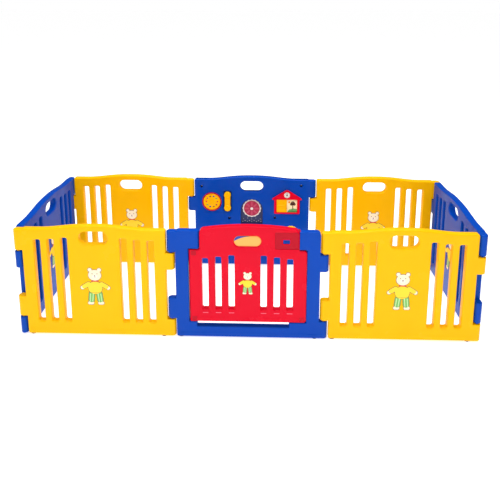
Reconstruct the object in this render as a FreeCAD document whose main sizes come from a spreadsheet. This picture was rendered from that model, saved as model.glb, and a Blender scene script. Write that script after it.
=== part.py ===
"""Folding playpen of eight moulded panels: six slatted panels, a gate and an activity panel.

Frame: X along the long side, Y from the gate row to the activity row, Z up.
The origin is on the floor under the middle of the pen.
A panel's own frame starts at its left hinge axis, seen from outside the pen:
x runs along the panel, y points into the pen and z rises from the panel's bottom edge.
"""

import FreeCAD
import Part
import Sketcher
import math
import os
import re

Vector = FreeCAD.Vector
doc = FreeCAD.newDocument("playpen")

SIZES = {
    # the ring of panels
    "pitch": 800,
    "thick": 40,
    "end_gap": 24,
    "foot_rise": 6,
    "shoulder": 598,
    "crown": 20,
    "crown_half": 225,
    "crown_blend": 400,
    "edge_round": 5,
    # hinge knuckles, from the panel's bottom edge
    "tab_gap": 8,
    "tab_low": 95,
    "tab_low_over": 115,
    "tab_high_under": 379,
    "tab_high": 471,
    "peg_r": 9,
    "peg_long": 46,
    "peg_clear": 0.08,
    "open_clear": 0.5,
    "socket_spare": 6,
    # slats
    "slot_wide": 35,
    "slot_pitch": 71,
    "slot_first": 137,
    "slot_bottom": 74,
    "slot_top": 550,
    "slot_drop_mid": 8,
    "slot_drop_out": 11,
    "slot_round": 5,
    "handle_wide": 150,
    "handle_tall": 70,
    "handle_mid": 550,
    # feet
    "foot_r": 15,
    "foot_in": 22,
    "foot_stud_r": 7,
    "foot_stud": 9,
    # bear plaques
    "bear_thick": 1.5,
    "bear_tall": 216,
    "bear_base": 174,
    # gate frame
    "post": 68,
    "shoulder_left": 58,
    "shoulder_right": 40,
    "shoulder_under": 500,
    "sill": 58,
    "sill_step": 87,
    "step_left": 42,
    "step_right": 90,
    "door_axis": 28,
    "door_gap": 1.2,
    # gate door
    "door_bottom": 89,
    "door_low_top": 495,
    "door_corner": 605,
    "door_crown": 21,
    "door_slot_wide": 33,
    "door_slot_pitch": 68.4,
    "door_slot_first": 67.5,
    "door_slot_bottom": 158,
    "door_slot_top": 466,
    "door_slot_drop": 9,
    "badge_wide": 150,
    "badge_tall": 71,
    "badge_mid": 543.5,
    "badge_deep": 5,
    "door_bear_tall": 129,
    "door_bear_base": 249,
    # gate pins
    "pin_r": 6,
    "pin_clear": 0.08,
    "pin_in_door": 24,
    "pin_in_frame": 30,
    # latch
    "latch_recess_wide": 124,
    "latch_recess_tall": 95,
    "latch_recess_mid": 549,
    "latch_recess_deep": 3,
    "knob_r": 42,
    "knob_thick": 22,
    "knob_in": 44,
    "knob_z": 566,
    "knob_shaft_r": 16,
    "knob_gap": 0.6,
    "crank": 12,
    "crank_r": 3,
    "bolt_travel": 12,
    "bolt_tall": 38,
    "bolt_thick": 11,
    "bolt_long": 66,
    "bolt_y": 2,
    "bolt_clear": 0.4,
    "bolt_set_back": 3,
    "keeper_wide": 22,
    "keeper_tall": 50,
    "button_wide": 35,
    "button_tall": 22,
    "button_deep": 9,
    "button_x": 600,
    "button_z": 543,
    "button_pocket": 18,
    "button_clear": 0.4,
    "spring_r": 4,
    "spring_wire": 0.5,
    # activity panel
    "cover_half": 350,
    "cover_base": 28,
    "cover_top": 582,
    "cover_notch_half": 95,
    "cover_notch_base": 500,
    "cover_thick": 4,
    "cover_clear": 0.5,
    "well_r": 10,
    "well_deep": 24,
    "screw_r": 2.5,
    "screw_head_r": 5,
    "screw_head": 3,
    "dial_x": -263,
    "dial_z": 444,
    "bezel_r": 64,
    "bezel_lip": 7,
    "bezel_deep": 12,
    "bezel_proud": 6,
    "bezel_floor": 4,
    "dial_thick": 9,
    "dial_clear": 0.6,
    "dial_hole_r": 7,
    "dial_hole_ring": 37,
    "axle_r": 4,
    "axle_clear": 0.08,
    "handset_x": -160,
    "handset_z": 447,
    "handset_tall": 133,
    "handset_wide": 45,
    "handset_waist": 33,
    "handset_thick": 26,
    "cradle_deep": 14,
    "cradle_clear": 7,
    "arch_half": 75,
    "arch_mid": 390,
    "arch_bottom": 285,
    "arch_deep": 20,
    "arch_plate": 2,
    "arch_plate_clear": 1,
    "spinner_r": 62,
    "spinner_z": 395,
    "spinner_thick": 8,
    "house_x": 231,
    "house_half": 83.5,
    "house_bottom": 367,
    "house_eave": 470,
    "house_eave_half": 97,
    "house_eave_drop": 6,
    "house_apex": 533,
    "house_thick": 9,
    "house_window_half": 67,
    "house_window_bottom": 378,
    "house_window_top": 465,
    "house_door_thick": 4,
    "house_picture_thick": 1.5,
    "house_rail": 5,
    "house_slack": 0.5,
    "clock_r": 19,
    "clock_z": 497,
    "clock_thick": 3,
    "hand_pin_r": 2,
    "hand_thick": 1.5,
    "roller_half": 132,
    "roller_low": 84,
    "roller_high": 148,
    "roller_r": 24,
    "roller_gap": 4,
    "roller_out": 8,
    "tray_proud": 14,
    "tray_wall": 6,
    "tray_floor": 3,
    "roller_mid": 116,
    "knob_small_r": 25,
    "knob_small_x": -217,
    "knob_small_z": 118,
    "knob_small_thick": 16,
}

SCREWS = [(-330, 549), (324, 558), (-149, 329), (153, 335), (-314, 53), (228, 53)]
SLATTED = ["front_left", "front_right", "right", "back_right", "back_left", "left"]
DIAL_HOLES = 10

sheet = doc.addObject("Spreadsheet::Sheet", "sizes")
for row, (alias, size) in enumerate(SIZES.items(), start=1):
    sheet.set(f"A{row}", alias)
    sheet.set(f"B{row}", str(size))
    sheet.setAlias(f"B{row}", alias)
doc.recompute()

nodes = {}


def bound(text):
    """The text with each size's name pointed at its cell."""
    return re.sub(r"[a-z_]+", lambda word: _cell(word.group(0)), str(text))


def _cell(word):
    return "sizes." + word if word in SIZES else word


def value(text):
    """What a text of sizes comes to, in millimetres."""
    return float(sheet.evalExpression(str(text)))


def bind(item, path, text):
    """Ties one property to the sheet."""
    item.setExpression(path, bound(text))


def place(item, x="0", y="0", z="0", axis=(0, 0, 1), angle=0):
    """Puts an object at a point that follows the sheet, turned by an angle about an axis."""
    item.Placement = FreeCAD.Placement(Vector(), FreeCAD.Rotation(Vector(*axis), angle))
    bind(item, "Placement.Base.x", x)
    bind(item, "Placement.Base.y", y)
    bind(item, "Placement.Base.z", z)


def keep(name, item):
    """Names the object that is a sub-part."""
    item.Label = name
    nodes[name] = item
    return item


# ---- sketches -------------------------------------------------------------------------------


def sketch(body, role, offset="0"):
    """An empty sketch on one of the body's origin planes, moved along the plane's normal."""
    item = body.newObject("Sketcher::SketchObject", "outline")
    plane = next(f for f in body.Origin.OriginFeatures if f.Role == role)
    item.AttachmentSupport = [(plane, "")]
    item.MapMode = "FlatFace"
    bind(item, "AttachmentOffset.Base.z", offset)
    return item


def hold(item, kind, geometry, end, text):
    """Holds one coordinate of a point at a distance from the sketch's origin."""
    index = item.addConstraint(
        Sketcher.Constraint(kind, -1, 1, geometry, end, value(text))
    )
    bind(item, f"Constraints[{index}]", text)


def fix_point(item, geometry, end, x, y):
    """Holds both coordinates of an end point or a centre."""
    hold(item, "DistanceX", geometry, end, x)
    hold(item, "DistanceY", geometry, end, y)


def spot(x, y):
    """A point of a sketch from two texts."""
    return Vector(value(x), value(y), 0)


def arc_about(item, centre, first, last):
    """An anticlockwise arc held by its centre, its first point and one coordinate of its last."""
    middle, start, end = spot(*centre), spot(*first), spot(*last)
    angles = [math.atan2(p.y - middle.y, p.x - middle.x) for p in (start, end)]
    whole = Part.Circle(middle, Vector(0, 0, 1), (start - middle).Length)
    arc = item.addGeometry(Part.ArcOfCircle(whole, *angles))
    fix_point(item, arc, 3, *centre)
    fix_point(item, arc, 1, *first)
    level = abs(end.y - middle.y) < abs(end.x - middle.x)
    hold(item, "DistanceY" if level else "DistanceX", arc, 2, last[1] if level else last[0])
    return arc


def polygon(item, points):
    """A closed outline of straight lines."""
    count = len(points)
    spots = [spot(x, y) for x, y in points]
    first = item.GeometryCount
    for i in range(count):
        item.addGeometry(Part.LineSegment(spots[i], spots[(i + 1) % count]))
    for i in range(count):
        after = first + (i + 1) % count
        item.addConstraint(Sketcher.Constraint("Coincident", first + i, 2, after, 1))
        fix_point(item, first + i, 1, *points[i])


def rectangle(item, left, bottom, right, top):
    polygon(item, [(left, bottom), (right, bottom), (right, top), (left, top)])


def capped(item, first, last, centre, points):
    """An outline of one anticlockwise arc from first to last, closed through other points."""
    arc = arc_about(item, centre, first, last)
    spots = [spot(x, y) for x, y in [last, *points, first]]
    lines = [
        item.addGeometry(Part.LineSegment(a, b)) for a, b in zip(spots, spots[1:])
    ]
    chain = [arc, *lines, arc]
    for before, after in zip(chain, chain[1:]):
        item.addConstraint(Sketcher.Constraint("Coincident", before, 2, after, 1))
    for line, point in zip(lines[1:], points):
        fix_point(item, line, 1, *point)


def circle(item, x, y, radius):
    middle = Vector(value(x), value(y), 0)
    index = item.addGeometry(Part.Circle(middle, Vector(0, 0, 1), value(radius)))
    fix_point(item, index, 3, x, y)
    held = item.addConstraint(Sketcher.Constraint("Radius", index, value(radius)))
    bind(item, f"Constraints[{held}]", radius)


# ---- features -------------------------------------------------------------------------------


def pad(body, profile, length, side="One side", back=False):
    """Adds a sketch's area, and stops if it added nothing."""
    return _feature(body, "PartDesign::Pad", profile, length, side, back, 1)


def pocket(body, profile, length, side="One side", back=False):
    """Cuts a sketch's area away, and stops if it cut nothing."""
    return _feature(body, "PartDesign::Pocket", profile, length, side, back, -1)


def _feature(body, kind, profile, length, side, back, sign):
    before = body.Shape.Volume if body.Tip else 0.0
    item = body.newObject(kind, "feature")
    item.Profile = profile
    item.SideType = side
    item.Reversed = back
    bind(item, "Length", length)
    doc.recompute()
    if (body.Shape.Volume - before) * sign <= 1.0:
        raise RuntimeError(f"{body.Label}: {item.Name} changed no material")
    return item


def round_edges(body, picked, radius):
    """Rounds the edges of the body's tip that picked accepts."""
    base = body.Tip
    names = [
        f"Edge{i}" for i, edge in enumerate(base.Shape.Edges, start=1) if picked(edge)
    ]
    item = body.newObject("PartDesign::Fillet", "round")
    item.Base = (base, names)
    bind(item, "Radius", radius)
    doc.recompute()
    return item


def runs_along_y(edge):
    line = edge.Curve
    return isinstance(line, Part.Line) and abs(abs(line.Direction.y) - 1) < 1e-6


def on_face_plane(edge):
    """True for an edge in the outer or inner face of a panel."""
    half = value("thick / 2")
    box = edge.BoundBox
    return box.YLength < 1e-6 and abs(abs(box.YMin) - half) < 1e-6


# ---- Part primitives ------------------------------------------------------------------------


def solid_box(x, y, z, wide, deep, tall):
    """A box between its lowest corner and its sizes."""
    item = doc.addObject("Part::Box", "block")
    bind(item, "Length", wide)
    bind(item, "Width", deep)
    bind(item, "Height", tall)
    place(item, x, y, z)
    return item


TURNS = {
    "up": ((0, 0, 1), 0),
    "in": ((1, 0, 0), 90),
    "out": ((1, 0, 0), -90),
    "right": ((0, 1, 0), 90),
}


def rod(radius, length, x, y, z, way="up"):
    """A cylinder from a point: up is +Z, right is +X, out is +Y and in is -Y."""
    item = doc.addObject("Part::Cylinder", "rod")
    bind(item, "Radius", radius)
    bind(item, "Height", length)
    axis, angle = TURNS[way]
    place(item, x, y, z, axis, angle)
    return item


def cut(base, *tools):
    for tool in tools:
        item = doc.addObject("Part::Cut", "cut")
        item.Base = base
        item.Tool = tool
        base = item
    return base


def fuse(*parts):
    item = doc.addObject("Part::MultiFuse", "fuse")
    item.Shapes = list(parts)
    item.Refine = True
    return item


def group(*parts):
    """Separate solids that are one node."""
    item = doc.addObject("Part::Compound", "group")
    item.Links = list(parts)
    return item


def plate(outline, y, thick):
    """A flat plate in the X-Z plane from y towards -Y, whose outline is a sketch's."""
    body = doc.addObject("PartDesign::Body", "plate")
    profile = sketch(body, "XZ_Plane")
    outline(profile)
    pad(body, profile, thick)
    place(body, "0", y, "0")
    return body


# ---- places in the ring ---------------------------------------------------------------------

# panel: (left hinge axis x, left hinge axis y, turn about Z in degrees)
RING = {
    "front_left": ("-1.5 * pitch", "-pitch / 2", 0),
    "gate": ("-pitch / 2", "-pitch / 2", 0),
    "front_right": ("pitch / 2", "-pitch / 2", 0),
    "right": ("1.5 * pitch", "-pitch / 2", 90),
    "back_right": ("1.5 * pitch", "pitch / 2", 180),
    "activity": ("pitch / 2", "pitch / 2", 180),
    "back_left": ("-pitch / 2", "pitch / 2", 180),
    "left": ("-1.5 * pitch", "pitch / 2", 270),
}


def to_ring(item, panel):
    """Moves an object from a panel's own frame into the pen."""
    x, y, turn = RING[panel]
    place(item, x, y, "foot_rise", (0, 0, 1), turn)
    return item


# ---- what every panel has -------------------------------------------------------------------


def knuckle(body, bottom, top, axis_x, towards):
    """A half-round tab about a hinge axis; towards is 1 if the panel lies at larger x."""
    profile = sketch(body, "XY_Plane", bottom)
    root = f"{axis_x} + {towards} * (end_gap + edge_round + 2)"
    low, high = (axis_x, "-thick / 2"), (axis_x, "thick / 2")
    if towards > 0:
        capped(profile, high, low, (axis_x, "0"),
               [(root, "-thick / 2"), (root, "thick / 2")])
    else:
        capped(profile, low, high, (axis_x, "0"),
               [(root, "thick / 2"), (root, "-thick / 2")])
    pad(body, profile, f"{top} - ({bottom})")


def hinge_knuckles(body, clearance):
    """Left edge: two upper knuckles with pegs. Right edge: two lower knuckles with sockets."""
    low_over = "tab_low + tab_gap"
    high_over = "tab_high + tab_gap"
    knuckle(body, low_over, f"{low_over} + tab_low_over", "0", 1)
    knuckle(body, high_over, "shoulder - edge_round", "0", 1)
    knuckle(body, "0", "tab_low", "pitch", -1)
    knuckle(body, "tab_high_under", "tab_high", "pitch", -1)
    for bottom in (low_over, high_over):
        profile = sketch(body, "XY_Plane", f"{bottom} - tab_gap - peg_long")
        circle(profile, "0", "0", "peg_r")
        pad(body, profile, "tab_gap + peg_long + 1")
    for top in ("tab_low", "tab_high"):
        profile = sketch(body, "XY_Plane", f"{top} - peg_long - socket_spare")
        circle(profile, "pitch", "0", f"peg_r + {clearance}")
        pocket(body, profile, "peg_long + socket_spare + 1", back=True)


def foot_bores(body):
    for x in ("end_gap + foot_in", "pitch - end_gap - foot_in"):
        profile = sketch(body, "XY_Plane")
        circle(profile, x, "0", "foot_stud_r")
        pocket(body, profile, "foot_stud", back=True)


def feet(panel):
    """Two rubber feet whose studs fill the bores in the panel's bottom edge."""
    pieces = []
    for x in ("end_gap + foot_in", "pitch - end_gap - foot_in"):
        pad_disc = rod("foot_r", "foot_rise", x, "0", "-foot_rise")
        stud = rod("foot_stud_r", "foot_rise + foot_stud", x, "0", "-foot_rise")
        pieces.append(fuse(pad_disc, stud))
    keep(f"{panel}_feet", to_ring(group(*pieces), panel))


def crown(body, left, right, base, height):
    """A low arch on the top edge between two points at one level."""
    half = f"(({right}) - ({left})) / 2"
    radius = f"(({half}) ^ 2 + ({height}) ^ 2) / (2 * ({height}))"
    profile = sketch(body, "XZ_Plane")
    centre = (f"(({left}) + ({right})) / 2", f"{base} + ({height}) - ({radius})")
    capped(profile, (right, base), (left, base), centre,
           [(left, f"{base} - 2"), (right, f"{base} - 2")])
    pad(body, profile, "thick", side="Symmetric")


def arched_slab(panel):
    """The plain panel with its crowned top edge."""
    body = doc.addObject("PartDesign::Body", panel)
    profile = sketch(body, "XZ_Plane")
    rectangle(profile, "end_gap", "0", "pitch - end_gap", "shoulder")
    pad(body, profile, "thick", side="Symmetric")
    crown(body, "pitch / 2 - crown_half", "pitch / 2 + crown_half", "shoulder", "crown")
    top = value("shoulder")
    creases = [value("pitch / 2 - crown_half"), value("pitch / 2 + crown_half")]

    def is_crease(edge):
        centre = edge.BoundBox.Center
        level = abs(centre.z - top) < 0.01
        return runs_along_y(edge) and level and min(abs(centre.x - c) for c in creases) < 0.01

    round_edges(body, is_crease, "crown_blend")
    return body


def stadium(profile, x, z, wide, tall):
    """A slot with round ends."""
    radius = f"({tall}) / 2"
    reach = f"(({wide}) - ({tall})) / 2"
    left, right = f"{x} - {reach}", f"{x} + {reach}"
    low, high = f"{z} - {radius}", f"{z} + {radius}"
    right_end = arc_about(profile, (right, z), (right, low), (right, high))
    left_end = arc_about(profile, (left, z), (left, high), (left, low))
    for first, second, corners in (
        (right_end, left_end, ((right, high), (left, high))),
        (left_end, right_end, ((left, low), (right, low))),
    ):
        line = profile.addGeometry(Part.LineSegment(*(spot(*c) for c in corners)))
        profile.addConstraint(Sketcher.Constraint("Coincident", first, 2, line, 1))
        profile.addConstraint(Sketcher.Constraint("Coincident", line, 2, second, 1))


def handle_hole(body):
    profile = sketch(body, "XZ_Plane")
    stadium(profile, "pitch / 2", "handle_mid", "handle_wide", "handle_tall")
    pocket(body, profile, "thick + 2", side="Symmetric")


def slots(body, first, width, step, bottom, tops):
    """Upright slots mirrored about the panel's middle."""
    profile = sketch(body, "XZ_Plane")
    for i, top in enumerate(tops):
        near, far = f"({first} + {i} * {step})", f"({first} + {i} * {step} + {width})"
        rectangle(profile, f"pitch / 2 + {near}", bottom, f"pitch / 2 + {far}", top)
        rectangle(profile, f"pitch / 2 - {far}", bottom, f"pitch / 2 - {near}", top)
    pocket(body, profile, "thick + 2", side="Symmetric")
    low, high = value(bottom), max(value(top) for top in tops)

    def is_slot_corner(edge):
        centre = edge.BoundBox.Center
        inside = value("end_gap") + 1 < centre.x < value("pitch - end_gap") - 1
        return runs_along_y(edge) and inside and low - 0.01 < centre.z < high + 0.01

    round_edges(body, is_slot_corner, "slot_round")


def slatted_panel(panel):
    body = arched_slab(f"{panel}_panel")
    tops = ["slot_top", "slot_top - slot_drop_mid", "slot_top - slot_drop_out"]
    slots(body, "slot_first", "slot_wide", "slot_pitch", "slot_bottom", tops)
    handle_hole(body)
    round_edges(body, on_face_plane, "edge_round")
    hinge_knuckles(body, "peg_clear")
    foot_bores(body)
    keep(f"{panel}_panel", to_ring(body, panel))


# ---- bear plaques ---------------------------------------------------------------------------

# disc of the bear: (x, z, radius) as shares of its height, from the middle of its base
BEAR_DISCS = [
    (0, 0.79, 0.16), (-0.115, 0.93, 0.055), (0.115, 0.93, 0.055),
    (0, 0.48, 0.175), (0, 0.36, 0.165), (-0.12, 0.06, 0.07), (0.12, 0.06, 0.07),
    (-0.30, 0.50, 0.06), (0.30, 0.50, 0.06),
]
# block of the bear: (left, bottom, width, height) as shares of its height
BEAR_BLOCKS = [(-0.19, 0.06, 0.15, 0.33), (0.04, 0.06, 0.15, 0.33), (-0.30, 0.45, 0.60, 0.13)]


def bear_plate(x, base, tall, y):
    """One plaque, standing off the face that starts at y."""
    pieces = [
        rod(f"{r} * {tall}", "bear_thick", f"{x} + {a} * {tall}", y, f"{base} + {b} * {tall}", "in")
        for a, b, r in BEAR_DISCS
    ]
    pieces += [
        solid_box(f"{x} + {a} * {tall}", f"{y} - bear_thick", f"{base} + {b} * {tall}",
                  f"{w} * {tall}", "bear_thick", f"{t} * {tall}")
        for a, b, w, t in BEAR_BLOCKS
    ]
    return fuse(*pieces)


def bear(panel, tall, base):
    """A plaque on each face of a panel."""
    outside = bear_plate("pitch / 2", base, tall, "-thick / 2")
    inside = bear_plate("pitch / 2", base, tall, "thick / 2 + bear_thick")
    keep(f"{panel}_bear", to_ring(group(outside, inside), panel))


# ---- gate -----------------------------------------------------------------------------------

AXIS_X = "(end_gap + post + door_axis)"
RIGHT_POST = "(pitch - end_gap - post)"
LEFT_SHOULDER = "(end_gap + post + shoulder_left)"
RIGHT_SHOULDER = f"({RIGHT_POST} - shoulder_right)"
DOOR_RIGHT = f"({RIGHT_POST} - door_gap)"
DOOR_LEFT_HIGH = f"({LEFT_SHOULDER} + door_gap)"
DOOR_RIGHT_HIGH = f"({RIGHT_SHOULDER} - door_gap)"
NOSE_R = "(door_axis - door_gap)"
SHOULDER_R = f"({LEFT_SHOULDER} - {AXIS_X})"
KNOB_X = f"({DOOR_RIGHT_HIGH} - knob_in)"


def chord(radius):
    """How far from its centre a round nose meets the panel's two faces."""
    return f"sqrt(({radius}) ^ 2 - (thick / 2) ^ 2)"


def gate_frame():
    body = doc.addObject("PartDesign::Body", "gate_frame")
    left_nose = f"{AXIS_X} + {chord(SHOULDER_R)}"
    step_left = "(end_gap + post + step_left)"
    step_right = f"({RIGHT_POST} - step_right)"
    profile = sketch(body, "XZ_Plane")
    polygon(profile, [
        ("end_gap", "0"), ("pitch - end_gap", "0"), ("pitch - end_gap", "shoulder"),
        (RIGHT_SHOULDER, "shoulder"), (RIGHT_SHOULDER, "shoulder_under"),
        (RIGHT_POST, "shoulder_under"), (RIGHT_POST, "sill_step"), (step_right, "sill_step"),
        (step_right, "sill"), (step_left, "sill"), (step_left, "sill_step"),
        ("end_gap + post", "sill_step"), ("end_gap + post", "shoulder_under"),
        (left_nose, "shoulder_under"), (left_nose, "shoulder"), ("end_gap", "shoulder"),
    ])
    pad(body, profile, "thick", side="Symmetric")
    rim = (value("end_gap"), value("pitch - end_gap"))

    def is_outer_rim(edge):
        box = edge.BoundBox
        sides = box.XLength < 1e-6 and min(abs(box.XMin - x) for x in rim) < 1e-6
        return on_face_plane(edge) and sides

    round_edges(body, is_outer_rim, "edge_round")
    profile = sketch(body, "XY_Plane", "shoulder_under")
    nose = (left_nose, "-thick / 2"), (left_nose, "thick / 2")
    capped(profile, *nose, (AXIS_X, "0"),
           [(AXIS_X, "thick / 2"), (AXIS_X, "-thick / 2")])
    pad(body, profile, "shoulder - shoulder_under")
    for bottom, length in (("shoulder_under", "pin_in_frame + 2"),
                           ("sill_step - pin_in_frame - 2", "pin_in_frame + 2")):
        profile = sketch(body, "XY_Plane", bottom)
        circle(profile, AXIS_X, "0", "pin_r + pin_clear")
        pocket(body, profile, length, back=True)
    profile = sketch(body, "XZ_Plane")
    rectangle(profile, f"{RIGHT_SHOULDER} - 1", "knob_z - keeper_tall / 2",
              f"{RIGHT_SHOULDER} + keeper_wide", "knob_z + keeper_tall / 2")
    pocket(body, profile, "thick + 2", side="Symmetric")
    hinge_knuckles(body, "peg_clear")
    foot_bores(body)
    keep("gate_frame", to_ring(body, "gate"))


def gate_keeper():
    """The cup in the frame's right shoulder that the latch bolt enters."""
    cup = solid_box(RIGHT_SHOULDER, "-thick / 2", "knob_z - keeper_tall / 2", "keeper_wide",
                    "thick", "keeper_tall")
    hollow = solid_box(f"{RIGHT_SHOULDER} - 1", "bolt_y - 1", "knob_z - bolt_tall / 2 - 1",
                       "bolt_travel + 3", "bolt_thick + 2", "bolt_tall + 2")
    keep("gate_keeper", to_ring(cut(cup, hollow), "gate"))


def gate_door():
    body = doc.addObject("PartDesign::Body", "gate_door")
    nose_x = f"{AXIS_X} - {chord(NOSE_R)}"
    profile = sketch(body, "XZ_Plane")
    polygon(profile, [
        (nose_x, "door_bottom"), (DOOR_RIGHT, "door_bottom"), (DOOR_RIGHT, "door_low_top"),
        (DOOR_RIGHT_HIGH, "door_low_top"), (DOOR_RIGHT_HIGH, "door_corner"),
        (DOOR_LEFT_HIGH, "door_corner"), (DOOR_LEFT_HIGH, "door_low_top"),
        (nose_x, "door_low_top"),
    ])
    pad(body, profile, "thick", side="Symmetric")
    crown(body, DOOR_LEFT_HIGH, DOOR_RIGHT_HIGH, "door_corner", "door_crown")
    tops = ["door_slot_top", "door_slot_top - door_slot_drop",
            "door_slot_top - 2 * door_slot_drop"]
    slots(body, "door_slot_first", "door_slot_wide", "door_slot_pitch", "door_slot_bottom", tops)
    hinge_side = value(nose_x)

    def is_door_rim(edge):
        return on_face_plane(edge) and abs(edge.BoundBox.XMax - hinge_side) > 1e-6

    round_edges(body, is_door_rim, "edge_round")
    profile = sketch(body, "XY_Plane", "door_bottom")
    capped(profile, (nose_x, "thick / 2"), (nose_x, "-thick / 2"), (AXIS_X, "0"),
           [(AXIS_X, "-thick / 2"), (AXIS_X, "thick / 2")])
    pad(body, profile, "door_low_top - door_bottom")
    for bottom in ("door_bottom", "door_low_top - pin_in_door"):
        profile = sketch(body, "XY_Plane", bottom)
        circle(profile, AXIS_X, "0", "pin_r")
        pocket(body, profile, "pin_in_door", back=True)
    profile = sketch(body, "XZ_Plane", "thick / 2")
    stadium(profile, "pitch / 2", "badge_mid", "badge_wide", "badge_tall")
    pocket(body, profile, "badge_deep")
    profile = sketch(body, "XZ_Plane", "thick / 2")
    recess = f"{DOOR_RIGHT_HIGH} - 3 - latch_recess_wide"
    rectangle(profile, recess, "latch_recess_mid - latch_recess_tall / 2",
              f"{DOOR_RIGHT_HIGH} - 3", "latch_recess_mid + latch_recess_tall / 2")
    pocket(body, profile, "latch_recess_deep")
    profile = sketch(body, "XZ_Plane", "thick / 2")
    rectangle(profile, "button_x - button_wide / 2 - button_clear",
              "button_z - button_tall / 2 - button_clear",
              "button_x + button_wide / 2 + button_clear",
              "button_z + button_tall / 2 + button_clear")
    pocket(body, profile, "button_pocket")
    profile = sketch(body, "YZ_Plane", f"{DOOR_RIGHT_HIGH} + 1")
    rectangle(profile, "bolt_y - bolt_clear", "knob_z - bolt_tall / 2 - bolt_clear",
              "bolt_y + bolt_thick + bolt_clear", "knob_z + bolt_tall / 2 + bolt_clear")
    pocket(body, profile, "bolt_long + bolt_set_back + 2")
    profile = sketch(body, "XZ_Plane", "-thick / 2")
    circle(profile, KNOB_X, "knob_z", "knob_shaft_r + axle_clear")
    pocket(body, profile, "thick / 2 - bolt_y - bolt_thick", back=True)
    keep("gate_door", to_ring(body, "gate"))



def gate_pins():
    """Two steel pins, pressed into the door and turning in the frame."""
    upper = rod("pin_r", "pin_in_door + shoulder_under - door_low_top + pin_in_frame",
                AXIS_X, "0", "door_low_top - pin_in_door")
    lower = rod("pin_r", "pin_in_door + door_bottom - sill_step + pin_in_frame",
                AXIS_X, "0", "sill_step - pin_in_frame")
    keep("gate_hinge_pins", to_ring(group(upper, lower), "gate"))


def gate_badge():
    """An oval plate in the door's blind recess."""
    def outline(profile):
        stadium(profile, "pitch / 2", "badge_mid + 2", "badge_wide * 0.94", "badge_tall * 0.8")

    body = plate(outline, "0", "2")
    place(body, "0", "-thick / 2 + badge_deep", "0")
    doc.recompute()
    keep("gate_badge", to_ring(group(body), "gate"))


def latch():
    """Knob, bolt, button and button spring in the door's free upper corner."""
    face = "(thick / 2 + knob_gap)"
    shaft_end = "(bolt_y + bolt_thick + bolt_clear)"
    disc = rod("knob_r", "knob_thick", KNOB_X, face, "knob_z", "out")
    shaft = rod("knob_shaft_r", f"{face} - {shaft_end} + 1", KNOB_X, shaft_end, "knob_z", "out")
    crank = rod("crank_r", "bolt_thick + bolt_clear + 1", f"{KNOB_X} - crank", "bolt_y + 1",
                "knob_z", "out")
    keep("latch_knob", to_ring(fuse(disc, shaft, crank), "gate"))

    back = f"({DOOR_RIGHT_HIGH} - bolt_set_back - bolt_long)"
    bar = solid_box(back, "bolt_y", "knob_z - bolt_tall / 2", "bolt_long", "bolt_thick",
                    "bolt_tall")
    slot = solid_box(f"{KNOB_X} - crank - crank_r - 3", "bolt_y - 1",
                     "knob_z - crank_r - 1.5", "2 * crank_r + 6", "bolt_thick + 2",
                     "crank + 2 * crank_r + 2")
    keep("latch_bolt", to_ring(cut(bar, slot), "gate"))

    front = "(-thick / 2 + latch_recess_deep + 2)"
    button = solid_box("button_x - button_wide / 2", front, "button_z - button_tall / 2",
                       "button_wide", "button_deep", "button_tall")
    keep("latch_button", to_ring(group(button), "gate"))

    rest = f"(-thick / 2 + button_pocket - ({front} + button_deep))"
    helix = doc.addObject("Part::Helix", "spring_line")
    bind(helix, "Pitch", f"({rest} - 2 * spring_wire) / 2.5")
    bind(helix, "Height", f"{rest} - 2 * spring_wire")
    bind(helix, "Radius", "spring_r")
    doc.recompute()
    profile = Part.Wire(Part.makeCircle(value("spring_wire"), Vector(value("spring_r"), 0, 0),
                                        Vector(0, 1, 0)))
    coil = doc.addObject("Part::Feature", "spring")
    coil.Shape = Part.Wire(helix.Shape.Edges).makePipeShell([profile], True, True)
    place(coil, "button_x", f"{front} + button_deep + spring_wire", "button_z", (1, 0, 0), -90)
    keep("latch_spring", to_ring(group(coil), "gate"))


# ---- activity panel -------------------------------------------------------------------------
# Everything below is placed in the pen's own frame: the panel's inner face looks along -Y.

FACE = "(pitch / 2 - thick / 2)"
BACK = "(pitch / 2 + thick / 2)"


def up(height):
    """A height above the panel's bottom edge, in the pen's frame."""
    return f"(foot_rise + ({height}))"


def arch_outline(profile, middle, slack="0", base="0"):
    """A window with a half-round head, smaller by a slack all round."""
    half, mid, low = f"(arch_half - {slack})", f"{base} + arch_mid", f"{base} + arch_bottom + {slack}"
    left, right = f"{middle} - {half}", f"{middle} + {half}"
    capped(profile, (right, mid), (left, mid), (middle, mid), [(left, low), (right, low)])


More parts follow.
